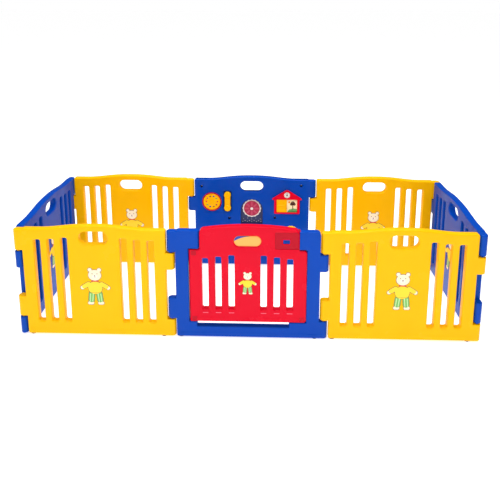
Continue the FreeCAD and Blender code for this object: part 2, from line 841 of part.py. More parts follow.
def activity_panel():
    body = arched_slab("activity_panel")
    handle_hole(body)
    round_edges(body, on_face_plane, "edge_round")
    hinge_knuckles(body, "open_clear")
    foot_bores(body)
    middle = "pitch / 2"
    # own-frame x runs the other way from the pen's x on this panel
    inner = "-thick / 2"

    def sunk(draw, deep):
        profile = sketch(body, "XZ_Plane", inner)
        draw(profile)
        pocket(body, profile, deep, back=True)

    sunk(lambda p: circle(p, f"{middle} - dial_x", "dial_z", "bezel_r + dial_clear"),
         "bezel_deep")
    sunk(lambda p: circle(p, f"{middle} - dial_x", "dial_z", "axle_r"), "bezel_deep + 8")
    sunk(lambda p: rectangle(
        p, f"{middle} - handset_x - handset_wide / 2 - cradle_clear",
        "handset_z - handset_tall / 2 - cradle_clear",
        f"{middle} - handset_x + handset_wide / 2 + cradle_clear",
        "handset_z + handset_tall / 2 + cradle_clear"), "cradle_deep")

    sunk(lambda p: arch_outline(p, middle), "arch_deep")
    sunk(lambda p: circle(p, middle, "spinner_z", "axle_r"), "arch_deep + 8")
    sunk(lambda p: rectangle(p, f"{middle} - roller_half - tray_wall", "roller_low - tray_wall",
                             f"{middle} + roller_half + tray_wall", "roller_high + tray_wall"),
         "thick / 2")
    sunk(lambda p: circle(p, f"{middle} - house_x", "clock_z", "hand_pin_r"), "8")
    sunk(lambda p: circle(p, f"{middle} - knob_small_x", "knob_small_z", "axle_r"), "14")
    for x, z in SCREWS:
        at = (f"{middle} - ({x})", str(z))
        sunk(lambda p, at=at: circle(p, *at, "well_r"), "well_deep")
    for x, z in SCREWS:
        at = (f"{middle} - ({x})", str(z))
        sunk(lambda p, at=at: circle(p, *at, "screw_r"), "thick")
    profile = sketch(body, "XZ_Plane", "thick / 2")
    cover_outline(profile, middle)
    pocket(body, profile, "cover_thick")
    keep("activity_panel", to_ring(body, "activity"))


def cover_outline(profile, middle, slack="0", base="0"):
    """The rear cover's outline, notched round the hand hole and smaller by a slack all round."""
    half, notch = f"(cover_half - {slack})", f"(cover_notch_half + {slack})"
    low, high = f"{base} + cover_base + {slack}", f"{base} + cover_top - {slack}"
    step = f"{base} + cover_notch_base - {slack}"
    polygon(profile, [
        (f"{middle} - {half}", low), (f"{middle} + {half}", low),
        (f"{middle} + {half}", high), (f"{middle} + {notch}", high),
        (f"{middle} + {notch}", step), (f"{middle} - {notch}", step),
        (f"{middle} - {notch}", high), (f"{middle} - {half}", high),
    ])


def rear_cover():
    """The back plate in its rebate, with the six screws that hold it."""
    panel = plate(lambda p: cover_outline(p, "0", "cover_clear", "foot_rise"), BACK, "cover_thick")
    holes = [rod("screw_r", "cover_thick + 2", x, f"{BACK} + 1", up(z), "in") for x, z in SCREWS]
    keep("activity_rear_cover", cut(panel, *holes))
    screws = []
    for x, z in SCREWS:
        seat = f"({FACE} + well_deep)"
        head = rod("screw_head_r", "screw_head", x, f"{seat} - screw_head", up(z), "out")
        shank = rod("screw_r", "thick - well_deep + screw_head - 1", x, f"{seat} - screw_head",
                    up(z), "out")
        screws.append(fuse(head, shank))
    keep("cover_screws", group(*screws))


def phone():
    floor = f"({FACE} + bezel_deep)"
    cup = rod("bezel_r", "bezel_deep + bezel_proud", "dial_x", floor, up("dial_z"), "in")
    bowl = rod("bezel_r - bezel_lip", "bezel_deep + bezel_proud", "dial_x",
               f"{floor} - bezel_floor", up("dial_z"), "in")
    bore = rod("axle_r", "bezel_floor + 2", "dial_x", f"{floor} + 1", up("dial_z"), "in")
    keep("phone_bezel", cut(cup, bowl, bore))

    seat = f"({floor} - bezel_floor - dial_clear)"
    disc = rod("bezel_r - bezel_lip - dial_clear", "dial_thick", "dial_x", seat, up("dial_z"),
               "in")
    holes = [rod("axle_r + axle_clear", "dial_thick + 2", "dial_x", f"{seat} + 1",
                 up("dial_z"), "in")]
    for i in range(DIAL_HOLES):
        turn = f"{360 * i / DIAL_HOLES} deg"
        holes.append(rod("dial_hole_r", "dial_thick - 3", f"dial_x + dial_hole_ring * cos({turn})",
                         f"{seat} - 3", up(f"dial_z + dial_hole_ring * sin({turn})"), "in"))
    keep("phone_dial", cut(disc, *holes))

    stem = rod("axle_r", "8 + bezel_floor + dial_clear * 2 + dial_thick", "dial_x",
               f"{floor} + 8", up("dial_z"), "in")
    cap = rod("axle_r * 3", "3", "dial_x", f"{seat} - dial_thick - dial_clear", up("dial_z"), "in")
    keep("dial_pin", fuse(stem, cap))

    seat = f"({FACE} + cradle_deep - 0.5)"
    ends = [rod("handset_wide / 2", "handset_thick", "handset_x", seat,
                up(f"handset_z {sign} (handset_tall - handset_wide) / 2"), "in")
            for sign in "+-"]
    grip = solid_box("handset_x - handset_waist / 2", f"{seat} - handset_thick + 4",
                     up("handset_z - (handset_tall - handset_wide) / 2"), "handset_waist",
                     "handset_thick - 8", "handset_tall - handset_wide")
    keep("phone_handset", fuse(*ends, grip))


def spinner_window():
    floor = f"({FACE} + arch_deep)"

    body = plate(lambda p: arch_outline(p, "0", "arch_plate_clear", "foot_rise"), floor,
                 "arch_plate")
    hole = rod("axle_r", "arch_plate + 2", "0", f"{floor} + 1", up("spinner_z"), "in")
    keep("spinner_backplate", cut(body, hole))
    seat = f"({floor} - arch_plate - 2)"
    disc = rod("spinner_r", "spinner_thick", "0", seat, up("spinner_z"), "in")
    bore = rod("axle_r + axle_clear", "spinner_thick + 2", "0", f"{seat} + 1", up("spinner_z"),
               "in")
    keep("spinner_wheel", cut(disc, bore))
    stem = rod("axle_r", "8 + arch_plate + 2 + spinner_thick + 0.6", "0", f"{floor} + 8",
               up("spinner_z"), "in")
    cap = rod("axle_r * 2.2", "2.5", "0", f"{seat} - spinner_thick - 0.6", up("spinner_z"), "in")
    keep("spinner_axle", fuse(stem, cap))


def house():
    def outline(profile):
        left, right = "(house_x - house_half)", "(house_x + house_half)"
        eave_left = "(house_x - house_eave_half)"
        eave_right = "(house_x + house_eave_half)"
        polygon(profile, [
            (left, up("house_bottom")), (right, up("house_bottom")),
            (right, up("house_eave - house_eave_drop")),
            (eave_right, up("house_eave - house_eave_drop")), (eave_right, up("house_eave")),
            ("house_x", up("house_apex")), (eave_left, up("house_eave")),
            (eave_left, up("house_eave - house_eave_drop")),
            (left, up("house_eave - house_eave_drop")),
        ])

    body = plate(outline, FACE, "house_thick")
    wide, tall = "house_window_half * 2", "house_window_top - house_window_bottom"
    window = solid_box("house_x - house_window_half", f"{FACE} - house_thick - 1",
                       up("house_window_bottom"), wide, "house_thick + 2", tall)
    rail = solid_box("house_x - house_window_half - house_rail",
                     f"{FACE} - house_thick + 2",
                     up("house_window_bottom - house_rail"),
                     f"{wide} + 2 * house_rail", "house_thick - 1",
                     f"{tall} + 2 * house_rail")
    pin_hole = rod("hand_pin_r", "house_thick + 2", "house_x", f"{FACE} + 1", up("clock_z"), "in")
    keep("house_frame", cut(body, window, rail, pin_hole))
    picture = solid_box("house_x - house_window_half - house_rail + house_slack",
                        f"{FACE} - house_picture_thick",
                        up("house_window_bottom - house_rail + house_slack"),
                        f"{wide} + 2 * (house_rail - house_slack)", "house_picture_thick",
                        f"{tall} + 2 * (house_rail - house_slack)")
    keep("house_picture", picture)
    leaf_y = f"({FACE} - house_thick + 2 + house_slack)"
    leaf = solid_box("house_x - house_window_half - house_rail + house_slack", leaf_y,
                     up("house_window_bottom - house_rail + house_slack"),
                     "house_window_half + house_rail - house_slack", "house_door_thick",
                     f"{tall} + 2 * (house_rail - house_slack)")
    pull = solid_box("house_x - 16", f"{leaf_y} - 7", up("house_window_bottom + 30"), "6",
                     "8", "28")
    keep("house_door", fuse(leaf, pull))

    front = f"({FACE} - house_thick)"
    face = rod("clock_r", "clock_thick", "house_x", front, up("clock_z"), "in")
    bore = rod("hand_pin_r", "clock_thick + 2", "house_x", f"{front} + 1", up("clock_z"), "in")
    keep("clock_face", cut(face, bore))
    hand_y = f"({front} - clock_thick - 0.6)"
    hub = rod("hand_pin_r * 2.2", "hand_thick", "house_x", hand_y, up("clock_z"), "in")
    hand = solid_box("house_x - 1.6", f"{hand_y} - hand_thick", up("clock_z"), "3.2",
                     "hand_thick", "clock_r - 4")
    bore = rod("hand_pin_r + axle_clear", "hand_thick + 2", "house_x", f"{hand_y} + 1",
               up("clock_z"), "in")
    keep("clock_hand", cut(fuse(hub, hand), bore))
    stem = rod("hand_pin_r", "8 + house_thick + clock_thick + hand_thick + 1.2", "house_x",
               f"{FACE} + 8", up("clock_z"), "in")
    cap = rod("hand_pin_r * 2", "1.5", "house_x", f"{hand_y} - hand_thick - 0.6", up("clock_z"),
              "in")
    keep("clock_pin", fuse(stem, cap))


def roller_box():
    """A green tray in the low window, with three rollers on one axle."""
    outer = solid_box("-roller_half - tray_wall", f"{FACE} - tray_proud",
                      up("roller_low - tray_wall"), "2 * (roller_half + tray_wall)",
                      "thick / 2 + tray_proud", "roller_high - roller_low + 2 * tray_wall")
    inner = solid_box("-roller_half", f"{FACE} - tray_proud - 1", up("roller_low"),
                      "2 * roller_half", "thick / 2 + tray_proud + 1 - tray_floor",
                      "roller_high - roller_low")
    line = (f"{FACE} - roller_out", up("roller_mid"))
    start, length = "-roller_half - tray_wall + 2", "2 * (roller_half + tray_wall - 2)"
    bore = rod("axle_r", length, start, *line, "right")
    keep("roller_tray", cut(outer, inner, bore))
    keep("roller_axle", rod("axle_r", length, start, *line, "right"))
    wide = "((2 * roller_half - 4 * roller_gap) / 3)"
    for i, name in enumerate(["roller_left", "roller_middle", "roller_right"]):
        left = f"-roller_half + roller_gap + {i} * ({wide} + roller_gap)"
        drum = rod("roller_r", wide, left, *line, "right")
        hole = rod("axle_r + axle_clear", f"{wide} + 2", f"{left} - 1", *line, "right")
        keep(name, cut(drum, hole))


def turning_flower():
    """A small pink knob on its own pin."""
    seat = f"({FACE} - 0.6)"
    disc = rod("knob_small_r", "knob_small_thick", "knob_small_x", seat, up("knob_small_z"), "in")
    bore = rod("axle_r + axle_clear", "knob_small_thick + 2", "knob_small_x", f"{seat} + 1",
               up("knob_small_z"), "in")
    keep("flower_knob", cut(disc, bore))
    stem = rod("axle_r", "14 + 1.2 + knob_small_thick", "knob_small_x", f"{FACE} + 14",
               up("knob_small_z"), "in")
    cap = rod("axle_r * 2", "2.5", "knob_small_x", f"{seat} - knob_small_thick - 0.6",
              up("knob_small_z"), "in")
    keep("flower_pin", fuse(stem, cap))


# ---- build, check and write -----------------------------------------------------------------

for name in SLATTED:
    slatted_panel(name)
    bear(name, "bear_tall", "bear_base")
gate_frame()
gate_keeper()
gate_door()
gate_pins()
gate_badge()
bear("gate", "door_bear_tall", "door_bear_base")
latch()
activity_panel()
rear_cover()
phone()
spinner_window()
house()
roller_box()
turning_flower()
for name in RING:
    feet(name)
doc.recompute()

faults = [f"{item.Label}: {item.State}" for item in doc.Objects
          if "Invalid" in item.State or "Error" in item.State]
for name, item in nodes.items():
    if item.Shape.isNull() or not item.Shape.isValid() or not item.Shape.Solids:
        faults.append(f"{name}: no valid solid")
if faults:
    raise RuntimeError("\n".join(faults))

os.makedirs("parts", exist_ok=True)
for name, item in nodes.items():
    item.Shape.exportStep(f"parts/{name}.step")
    print(f"{name}: {len(item.Shape.Solids)} solid, {item.Shape.Volume / 1000:.1f} cm3")
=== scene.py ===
"""Looks of the folding playpen: moulded panels, gate, latch, prints and the activity toys."""

import logging
import math
from collections.abc import Iterable, Sequence
from dataclasses import dataclass, field
from enum import Enum

import bmesh
import bpy
from mathutils import Matrix, Vector


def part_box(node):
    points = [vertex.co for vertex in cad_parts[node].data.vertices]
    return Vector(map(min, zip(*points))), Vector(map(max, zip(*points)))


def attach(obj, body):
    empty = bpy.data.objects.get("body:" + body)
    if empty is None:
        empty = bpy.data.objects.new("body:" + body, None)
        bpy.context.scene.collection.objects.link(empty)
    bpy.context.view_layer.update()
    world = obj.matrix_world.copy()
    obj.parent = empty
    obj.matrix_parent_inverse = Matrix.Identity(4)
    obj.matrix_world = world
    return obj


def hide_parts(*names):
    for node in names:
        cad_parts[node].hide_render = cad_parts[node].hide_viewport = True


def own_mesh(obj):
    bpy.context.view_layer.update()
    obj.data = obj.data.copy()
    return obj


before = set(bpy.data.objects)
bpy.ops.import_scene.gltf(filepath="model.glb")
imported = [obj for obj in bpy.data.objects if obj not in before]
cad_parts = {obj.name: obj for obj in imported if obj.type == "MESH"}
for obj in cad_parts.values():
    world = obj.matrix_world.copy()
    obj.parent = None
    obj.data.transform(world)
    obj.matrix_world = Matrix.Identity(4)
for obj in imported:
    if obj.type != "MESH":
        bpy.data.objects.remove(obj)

Point = tuple[float, float]
Loop = list[Point]
Colour = tuple[float, float, float]

MILLI = 0.001
LOG = logging.getLogger("playpen")


class Side(Enum):
    """A face of an upright panel."""

    OUTSIDE = -1
    INSIDE = 1


class Drawn(Enum):
    """How a flat drawing is laid into a panel: along its face, or in plan."""

    ON_FACE = "face"
    IN_PLAN = "plan"


class Shape(Enum):
    """The outlines a print is drawn from."""

    ROUND = "round"
    LIMB = "limb"


# ---- finishes -------------------------------------------------------------------------------


@dataclass(frozen=True)
class Finish:
    """A surface with mottled gloss, a fine grain and a slight shift of colour."""

    name: str
    colour: Colour
    slot: str
    gloss: float = 0.26
    spread: float = 0.10
    grain: float = 0.10
    grain_scale: float = 420.0
    shade: float = 0.95
    metal: float = 0.0
    coat: float = 0.0
    shine: float = 0.42

    def material(self) -> bpy.types.Material:
        """The finish's material, made once.

        Returns:
            The material, with its pattern on object coordinates.
        """
        found = bpy.data.materials.get(self.name)
        if found:
            return found
        made = bpy.data.materials.new(self.name)
        made.use_nodes = True
        tree = made.node_tree
        tree.nodes.clear()
        link = tree.links.new
        out = tree.nodes.new("ShaderNodeOutputMaterial")
        shader = tree.nodes.new("ShaderNodeBsdfPrincipled")
        shader.inputs["Metallic"].default_value = self.metal
        shader.inputs["Specular IOR Level"].default_value = self.shine
        shader.inputs["Coat Weight"].default_value = self.coat
        shader.inputs["Coat Roughness"].default_value = 0.12
        place = tree.nodes.new("ShaderNodeTexCoord")
        mottle = tree.nodes.new("ShaderNodeTexNoise")
        mottle.inputs["Scale"].default_value = 9.0
        mottle.inputs["Detail"].default_value = 3.0
        grain = tree.nodes.new("ShaderNodeTexNoise")
        grain.inputs["Scale"].default_value = self.grain_scale
        grain.inputs["Detail"].default_value = 2.0
        gloss = tree.nodes.new("ShaderNodeMapRange")
        gloss.inputs["To Min"].default_value = self.gloss - self.spread / 2
        gloss.inputs["To Max"].default_value = self.gloss + self.spread / 2
        tint = tree.nodes.new("ShaderNodeValToRGB")
        tint.color_ramp.elements[0].position = 0.3
        tint.color_ramp.elements[0].color = (*(c * self.shade for c in self.colour), 1.0)
        tint.color_ramp.elements[1].position = 0.7
        tint.color_ramp.elements[1].color = (*self.colour, 1.0)
        bump = tree.nodes.new("ShaderNodeBump")
        bump.inputs["Strength"].default_value = self.grain
        bump.inputs["Distance"].default_value = 0.0004
        link(place.outputs["Object"], mottle.inputs["Vector"])
        link(place.outputs["Object"], grain.inputs["Vector"])
        link(mottle.outputs["Fac"], gloss.inputs["Value"])
        link(mottle.outputs["Fac"], tint.inputs["Fac"])
        link(gloss.outputs["Result"], shader.inputs["Roughness"])
        link(tint.outputs["Color"], shader.inputs["Base Color"])
        link(grain.outputs["Fac"], bump.inputs["Height"])
        link(bump.outputs["Normal"], shader.inputs["Normal"])
        link(shader.outputs["BSDF"], out.inputs["Surface"])
        return made


YELLOW = Finish("yellow_moulding", (1.0, 0.52, 0.0), "yellow", shine=0.12)
BLUE = Finish("blue_moulding", (0.0, 0.062, 0.45), "blue", gloss=0.22, shine=0.12)
# darker blue painted on the floors of hollows and of the bolt cup as shade
BLUE_PAINTED_SHADE = Finish("blue_painted_recess_shade", (0.001, 0.025, 0.17), "blue", gloss=0.4, shine=0.2)
RED = Finish("red_moulding", (0.74, 0.0, 0.02), "red", shine=0.12)
# darker red: painted shade on the latch hollow's floor and plate, and a darker red tone on the
# phone ring, hinge covers, ribs and bolt guide
RED_DARK_AND_PAINTED_SHADE = Finish("red_dark_and_painted_shade", (0.5, 0.0, 0.015), "red", gloss=0.36, shine=0.16)
# light pink painted on the ledges under the door's slots as their highlight
RED_PAINTED_HIGHLIGHT = Finish("red_painted_highlight_ledge", (0.95, 0.12, 0.2), "red")
RUBBER = Finish("grey_rubber", (0.16, 0.15, 0.15), "rubber", gloss=0.75, grain=0.3)
STEEL = Finish("bright_steel", (0.6, 0.6, 0.62), "steel", gloss=0.3, metal=1.0, grain=0.04)
CREAM = Finish("print_cream", (0.96, 0.86, 0.62), "bear_print", gloss=0.38, grain=0.05)
MUZZLE = Finish("print_pale", (0.98, 0.93, 0.8), "bear_print", gloss=0.38, grain=0.05)
BROWN = Finish("print_brown", (0.24, 0.09, 0.03), "bear_print", gloss=0.4, grain=0.05)
JUMPER = Finish("print_jumper", (1.0, 0.72, 0.02), "bear_print", gloss=0.38, grain=0.05)
LEAF = Finish("print_green", (0.16, 0.5, 0.1), "bear_print", gloss=0.38, grain=0.05)
PALE_LEAF = Finish("print_pale_green", (0.6, 0.82, 0.42), "bear_print", gloss=0.38, grain=0.05)
SCARLET = Finish("print_scarlet", (0.75, 0.03, 0.03), "bear_print", gloss=0.38, grain=0.05)
ORANGE = Finish("badge_orange", (0.85, 0.3, 0.04), "badge_print", gloss=0.3, grain=0.05)
GOLD = Finish("badge_gold", (0.93, 0.46, 0.09), "badge_print", gloss=0.3, grain=0.05)
BADGE_BLUE = Finish("badge_blue", (0.01, 0.05, 0.4), "badge_print", gloss=0.3, grain=0.05)
WHITE = Finish("white_plastic", (0.86, 0.86, 0.84), "white", gloss=0.25)
CARD = Finish("picture_card", (0.95, 0.86, 0.52), "picture_print", gloss=0.45, grain=0.05)
CARD_BROWN = Finish("picture_brown", (0.16, 0.06, 0.03), "picture_print", gloss=0.45)
CARD_GREEN = Finish("picture_green", (0.12, 0.42, 0.12), "picture_print", gloss=0.45)
SLATE = Finish("slate_card", (0.02, 0.035, 0.12), "slate_print", gloss=0.35)
MAROON = Finish("maroon_plastic", (0.42, 0.03, 0.08), "maroon", gloss=0.22)
ROSE = Finish("rose_plastic", (0.55, 0.07, 0.14), "maroon", gloss=0.22)
GREEN = Finish("green_plastic", (0.02, 0.36, 0.11), "green")
PINK = Finish("pink_plastic", (0.9, 0.25, 0.42), "pink")
BLACK = Finish("black_plastic", (0.015, 0.015, 0.018), "black")

CARRIED: dict[str, Finish] = {
    "gate_hinge_pins": STEEL, "cover_screws": STEEL,
    "roller_axle": STEEL, "latch_bolt": BLUE, "activity_rear_cover": BLUE,
    "dial_pin": YELLOW, "spinner_axle": WHITE, "flower_pin": WHITE, "clock_pin": BLACK,
    "roller_tray": GREEN,
}


# ---- drawing and shaping --------------------------------------------------------------------


def ellipse(u: float, v: float, wide: float, tall: float | None = None, steps: int = 32) -> Loop:
    """A closed round outline.

    Args:
        u: Middle along the face.
        v: Middle height.
        wide: Half width.
        tall: Half height, the half width when left out.
        steps: Points on the outline.

    Returns:
        The outline's points in order.
    """
    tall = wide if tall is None else tall
    bm = bmesh.new()
    bmesh.ops.create_circle(bm, segments=steps, radius=1.0)
    points = [(u + p.co.x * wide, v + p.co.y * tall) for p in bm.verts]
    bm.free()
    return points


def stadium(u: float, v: float, wide: float, tall: float, turn: float = 0.0) -> Loop:
    """An outline with round ends.

    Args:
        u: Middle along the face.
        v: Middle height.
        wide: Whole length.
        tall: Whole width across.
        turn: Turn of the long way, in degrees.

    Returns:
        The outline's points in order.
    """
    reach = (wide - tall) / 2
    bm = bmesh.new()
    bmesh.ops.create_circle(bm, segments=26, radius=tall / 2)
    bmesh.ops.rotate(bm, matrix=Matrix.Rotation(math.pi / 26, 3, "Z"), verts=bm.verts)
    for vert in bm.verts:
        vert.co.x += math.copysign(reach, vert.co.x)
    bmesh.ops.rotate(bm, matrix=Matrix.Rotation(math.radians(turn), 3, "Z"), verts=bm.verts)
    points = [(u + p.co.x, v + p.co.y) for p in bm.verts]
    bm.free()
    return points


def rounded(corners: Sequence[tuple[float, float, float]], steps: int = 5) -> Loop:
    """An outline with each corner rounded.

    Args:
        corners: Corners in order as (u, v, radius).
        steps: Straight pieces in each rounded corner.

    Returns:
        The outline's points in order.
    """
    bm = bmesh.new()
    verts = [bm.verts.new((u, v, 0.0)) for u, v, _ in corners]
    bm.faces.new(verts)
    for radius in sorted({r for *_, r in corners if r > 0}):
        picked = [p for p, corner in zip(verts, corners) if corner[2] == radius]
        bmesh.ops.bevel(bm, geom=picked, offset=radius, offset_type="OFFSET", segments=steps,
                        profile=0.5, affect="VERTICES", clamp_overlap=False, material=-1)
    outline = max(bm.faces, key=lambda f: f.calc_area())
    points = [(p.co.x, p.co.y) for p in outline.verts]
    bm.free()
    return points


def fluted(radius: float, deep: float, count: int, steps: int) -> Loop:
    """A round outline with evenly spaced hollows.

    Args:
        radius: Radius on the ridges.
        deep: Depth of the hollows.
        count: Number of ridges.
        steps: Points on the outline.

    Returns:
        The outline's points in order.
    """
    outline = []
    for i in range(steps):
        turn = math.tau * i / steps
        reach = radius - deep * (0.5 - 0.5 * math.cos(count * turn))
        outline.append((reach * math.cos(turn), reach * math.sin(turn)))
    return outline


def block(left: float, low: float, right: float, high: float, radius: float = 0.0) -> Loop:
    """A rectangle between two corners, rounded by a radius."""
    return rounded([(left, low, radius), (right, low, radius), (right, high, radius),
                    (left, high, radius)])


@dataclass
class Recess:
    """A blind hollow in one side of a moulding."""

    outline: Loop
    deep: float
    finish: Finish
    lip: float = 2.0


@dataclass
class Moulding:
    """A plate with rounded rims, holes through it and hollows in its high side."""

    outline: Loop
    low: float
    high: float
    finish: Finish
    rim: float = 0.0
    steps: int = 4
    holes: list[Loop] = field(default_factory=list)
    recesses: list[Recess] = field(default_factory=list)

    def shell(self, piece: "Piece") -> bmesh.types.BMesh:
        """The plate as a closed shell, drawn flat with its thickness along Z.

        Args:
            piece: The piece whose material slots the faces use.

        Returns:
            A new mesh, in millimetres.
        """
        bm = bmesh.new()
        zone = bm.faces.layers.int.new("zone")
        start = self.low + self.rim
        rings = [self._ring(bm, loop, start) for loop in [self.outline, *self.holes]]
        hollows = [self._ring(bm, hollow.outline, start) for hollow in self.recesses]
        edges = [edge for ring in rings + hollows for edge in ring]
        bmesh.ops.triangle_fill(bm, use_beauty=True, use_dissolve=False, edges=edges)
        plain = set(bm.faces)
        for number, ring in enumerate(hollows, start=1):
            bmesh.ops.triangle_fill(bm, use_beauty=True, use_dissolve=False, edges=ring)
            for face in set(bm.faces) - plain:
                face[zone] = number
            plain = set(bm.faces)
        bmesh.ops.extrude_face_region(bm, geom=list(bm.faces), use_keep_orig=True)
        rise = self.high - self.low - 2 * self.rim
        lower = {vert for face in plain for vert in face.verts}
        raised = [vert for vert in bm.verts if vert not in lower]
        bmesh.ops.translate(bm, vec=(0.0, 0.0, rise), verts=raised)
        bmesh.ops.recalc_face_normals(bm, faces=bm.faces)
        index = piece.index(self.finish)
        for face in bm.faces:
            face.material_index = index
        top = [face for face in bm.faces if face.normal.z > 0.9]
        bottom = [face for face in bm.faces if face.normal.z < -0.9]
        if self.rim:
            self._round(bm, top)
            self._round(bm, bottom)
        for number, hollow in enumerate(self.recesses, start=1):
            floor = [face for face in top if face[zone] == number]
            self._sink(bm, floor, hollow, piece.index(hollow.finish))
        return bm

    @staticmethod
    def _ring(bm: bmesh.types.BMesh, loop: Loop, height: float) -> list[bmesh.types.BMEdge]:
        """The edges of one closed outline at a height."""
        verts = [bm.verts.new((u, v, height)) for u, v in loop]
        return [bm.edges.new((a, b)) for a, b in zip(verts, verts[1:] + verts[:1])]

    def _round(self, bm: bmesh.types.BMesh, faces: list[bmesh.types.BMFace]) -> None:
        """Rounds the rim round one side's faces, then adds a narrow flat ring.

        Args:
            bm: The shell.
            faces: The side's faces.
        """
        before = (0.0, 0.0)
        for step in range(1, self.steps + 1):
            turn = math.pi / 2 * step / self.steps
            now = (self.rim * (1 - math.cos(turn)), self.rim * math.sin(turn))
            self._inset(bm, faces, now[0] - before[0], now[1] - before[1])
            before = now
        self._inset(bm, faces, 0.8, 0.0)

    def _sink(self, bm: bmesh.types.BMesh, faces: list[bmesh.types.BMFace], hollow: Recess,
              index: int) -> None:
        """Sinks faces into a hollow with a soft lip.

        Args:
            bm: The shell.
            faces: The faces inside the hollow's outline.
            hollow: The hollow's sizes.
            index: The material slot of its floor.
        """
        lip = min(hollow.lip, hollow.deep * 0.6)
        foot = min(1.2, hollow.deep * 0.3)
        for inward, down in ((0.3 * lip, 0.08 * lip), (0.4 * lip, 0.35 * lip),
                             (0.3 * lip, 0.57 * lip)):
            self._inset(bm, faces, inward, -down)
        # the floor takes the hollow's finish; some hollows use a darker colour painted as shade
        for face in faces:
            face.material_index = index
        self._inset(bm, faces, 0.3, -(hollow.deep - lip - foot))
        self._inset(bm, faces, foot, -foot)

    @staticmethod
    def _inset(bm: bmesh.types.BMesh, faces: list[bmesh.types.BMFace], inward: float,
               rise: float) -> None:
        """Moves faces inwards from their border and along their normals."""
        bmesh.ops.inset_region(bm, faces=faces, thickness=inward, depth=rise,
                               use_boundary=True, use_even_offset=True)


def turned(profile: Sequence[Point], steps: int = 48) -> bmesh.types.BMesh:
    """A turned shape about Z.

    Args:
        profile: Points (radius, height) from the axis round to the axis.
        steps: Pieces in a whole turn.

    Returns:
        A new closed mesh, in millimetres.
    """
    bm = bmesh.new()
    verts = [bm.verts.new((r, 0.0, h)) for r, h in profile]
    edges = [bm.edges.new(pair) for pair in zip(verts, verts[1:])]
    bmesh.ops.spin(bm, geom=verts + edges, axis=(0, 0, 1), cent=(0, 0, 0), steps=steps,
                   angle=math.tau, use_merge=True)
    bmesh.ops.remove_doubles(bm, verts=bm.verts, dist=0.001)
    bmesh.ops.recalc_face_normals(bm, faces=bm.faces)
    return bm


def dome(wide: float, tall: float, high: float) -> bmesh.types.BMesh:
    """A soft lump: half width, half height and half thickness, about the origin."""
    bm = bmesh.new()
    bmesh.ops.create_uvsphere(bm, u_segments=28, v_segments=14, radius=1.0)
    bmesh.ops.scale(bm, vec=(wide, tall, high), verts=bm.verts)
    return bm


class Piece:
    """One named piece that rides on a body and gathers shells."""

    def __init__(self, name: str, body: str, place: Matrix) -> None:
        """An empty piece.

        Args:
            name: The piece's name.
            body: The CAD body it moves with.
            place: From its own millimetres to the pen's metres.
        """
        self.name = name
        self.body = body
        self.place = place
        self.finishes: list[Finish] = []
        self.bm = bmesh.new()

    def index(self, finish: Finish) -> int:
        """The material slot of a finish, made when new."""
        if finish not in self.finishes:
            self.finishes.append(finish)
        return self.finishes.index(finish)

    def join(self, shell: bmesh.types.BMesh, finish: Finish | None = None,
             place: Matrix | None = None) -> None:
        """Adds a shell and frees it.

        Args:
            shell: A closed mesh in millimetres.
            finish: A finish for all of its faces, if it has none yet.
            place: A move before the piece's own place.
        """
        if finish:
            number = self.index(finish)
            for face in shell.faces:
                face.material_index = number
        bmesh.ops.transform(shell, matrix=self.place @ (place or Matrix.Identity(4)),
                            verts=shell.verts)
        bmesh.ops.recalc_face_normals(shell, faces=shell.faces)
        scrap = bpy.data.meshes.new("scrap")
        shell.to_mesh(scrap)
        shell.free()
        self.bm.from_mesh(scrap)
        bpy.data.meshes.remove(scrap)

    def add(self, moulding: Moulding, place: Matrix | None = None) -> None:
        """Adds a moulding."""
        self.join(moulding.shell(self), place=place)

    def done(self, nodes: Iterable[str], slot: str) -> bpy.types.Object:
        """Makes the object, smooth except at its sharp edges.

        Args:
            nodes: The CAD nodes it stands for.
            slot: Not used.

        Returns:
            The finished object.
        """
        for face in self.bm.faces:
            face.smooth = True
        for edge in self.bm.edges:
            if len(edge.link_faces) == 2 and edge.calc_face_angle(0.0) > math.radians(38):
                edge.smooth = False
        mesh = bpy.data.meshes.new(self.name)
        self.bm.to_mesh(mesh)
        self.bm.free()
        for finish in self.finishes:
            mesh.materials.append(finish.material())
        made = bpy.data.objects.new(self.name, mesh)
        bpy.context.scene.collection.objects.link(made)
        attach(made, self.body)
        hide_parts(*nodes)
        LOG.info("%s: %d faces on %s", self.name, len(mesh.polygons), self.body)
        return made


@dataclass
class Spot:
    """Where a panel stands, from its CAD node: the middle of its bottom edge and its turn."""

    node: str
    turn: float = 0.0

    def matrix(self) -> Matrix:
        """From the panel's millimetres (x along, y into the pen, z up) to the pen."""
        low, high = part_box(self.node)
        middle = (low + high) / 2
        return (Matrix.Translation((middle.x, middle.y, low.z))
                @ Matrix.Rotation(math.radians(self.turn), 4, "Z") @ Matrix.Scale(MILLI, 4))


def laid(drawn: Drawn) -> Matrix:
    """Turns a flat drawing into a panel's frame: a face drawing stands up, a plan stays."""
    if drawn is Drawn.IN_PLAN:
        return Matrix.Identity(4)
    return Matrix(((1, 0, 0, 0), (0, 0, 1, 0), (0, 1, 0, 0), (0, 0, 0, 1)))


def on_side(side: Side, half: float) -> Matrix:
    """A drawing on one face of a panel, read from that side, with its thickness outwards.

    Args:
        side: The face.
        half: Half of the panel's thickness.

    Returns:
        The move into the panel's frame.
    """
    way = side.value
    return Matrix(((-way, 0, 0, 0), (0, 0, way, way * half), (0, 1, 0, 0), (0, 0, 0, 1)))


def stood(node: str, side: Side) -> Matrix:
    """A drawing stood up about the middle of a CAD node's inner face.

    Args:
        node: The CAD node.
        side: The way the drawing faces.

    Returns:
        From the drawing's millimetres to the pen's metres.
    """
    low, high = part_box(node)
    middle = (low + high) / 2
    return (Matrix.Translation((middle.x, high.y, middle.z)) @ Matrix.Scale(MILLI, 4)
            @ Matrix(((1, 0, 0, 0), (0, 0, side.value, 0), (0, 1, 0, 0), (0, 0, 0, 1))))


def halves(node: str) -> Vector:
    """Half of a CAD node's size along each axis, in millimetres."""
    low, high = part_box(node)
    return (high - low) / 2 / MILLI


# ---- panels ---------------------------------------------------------------------------------


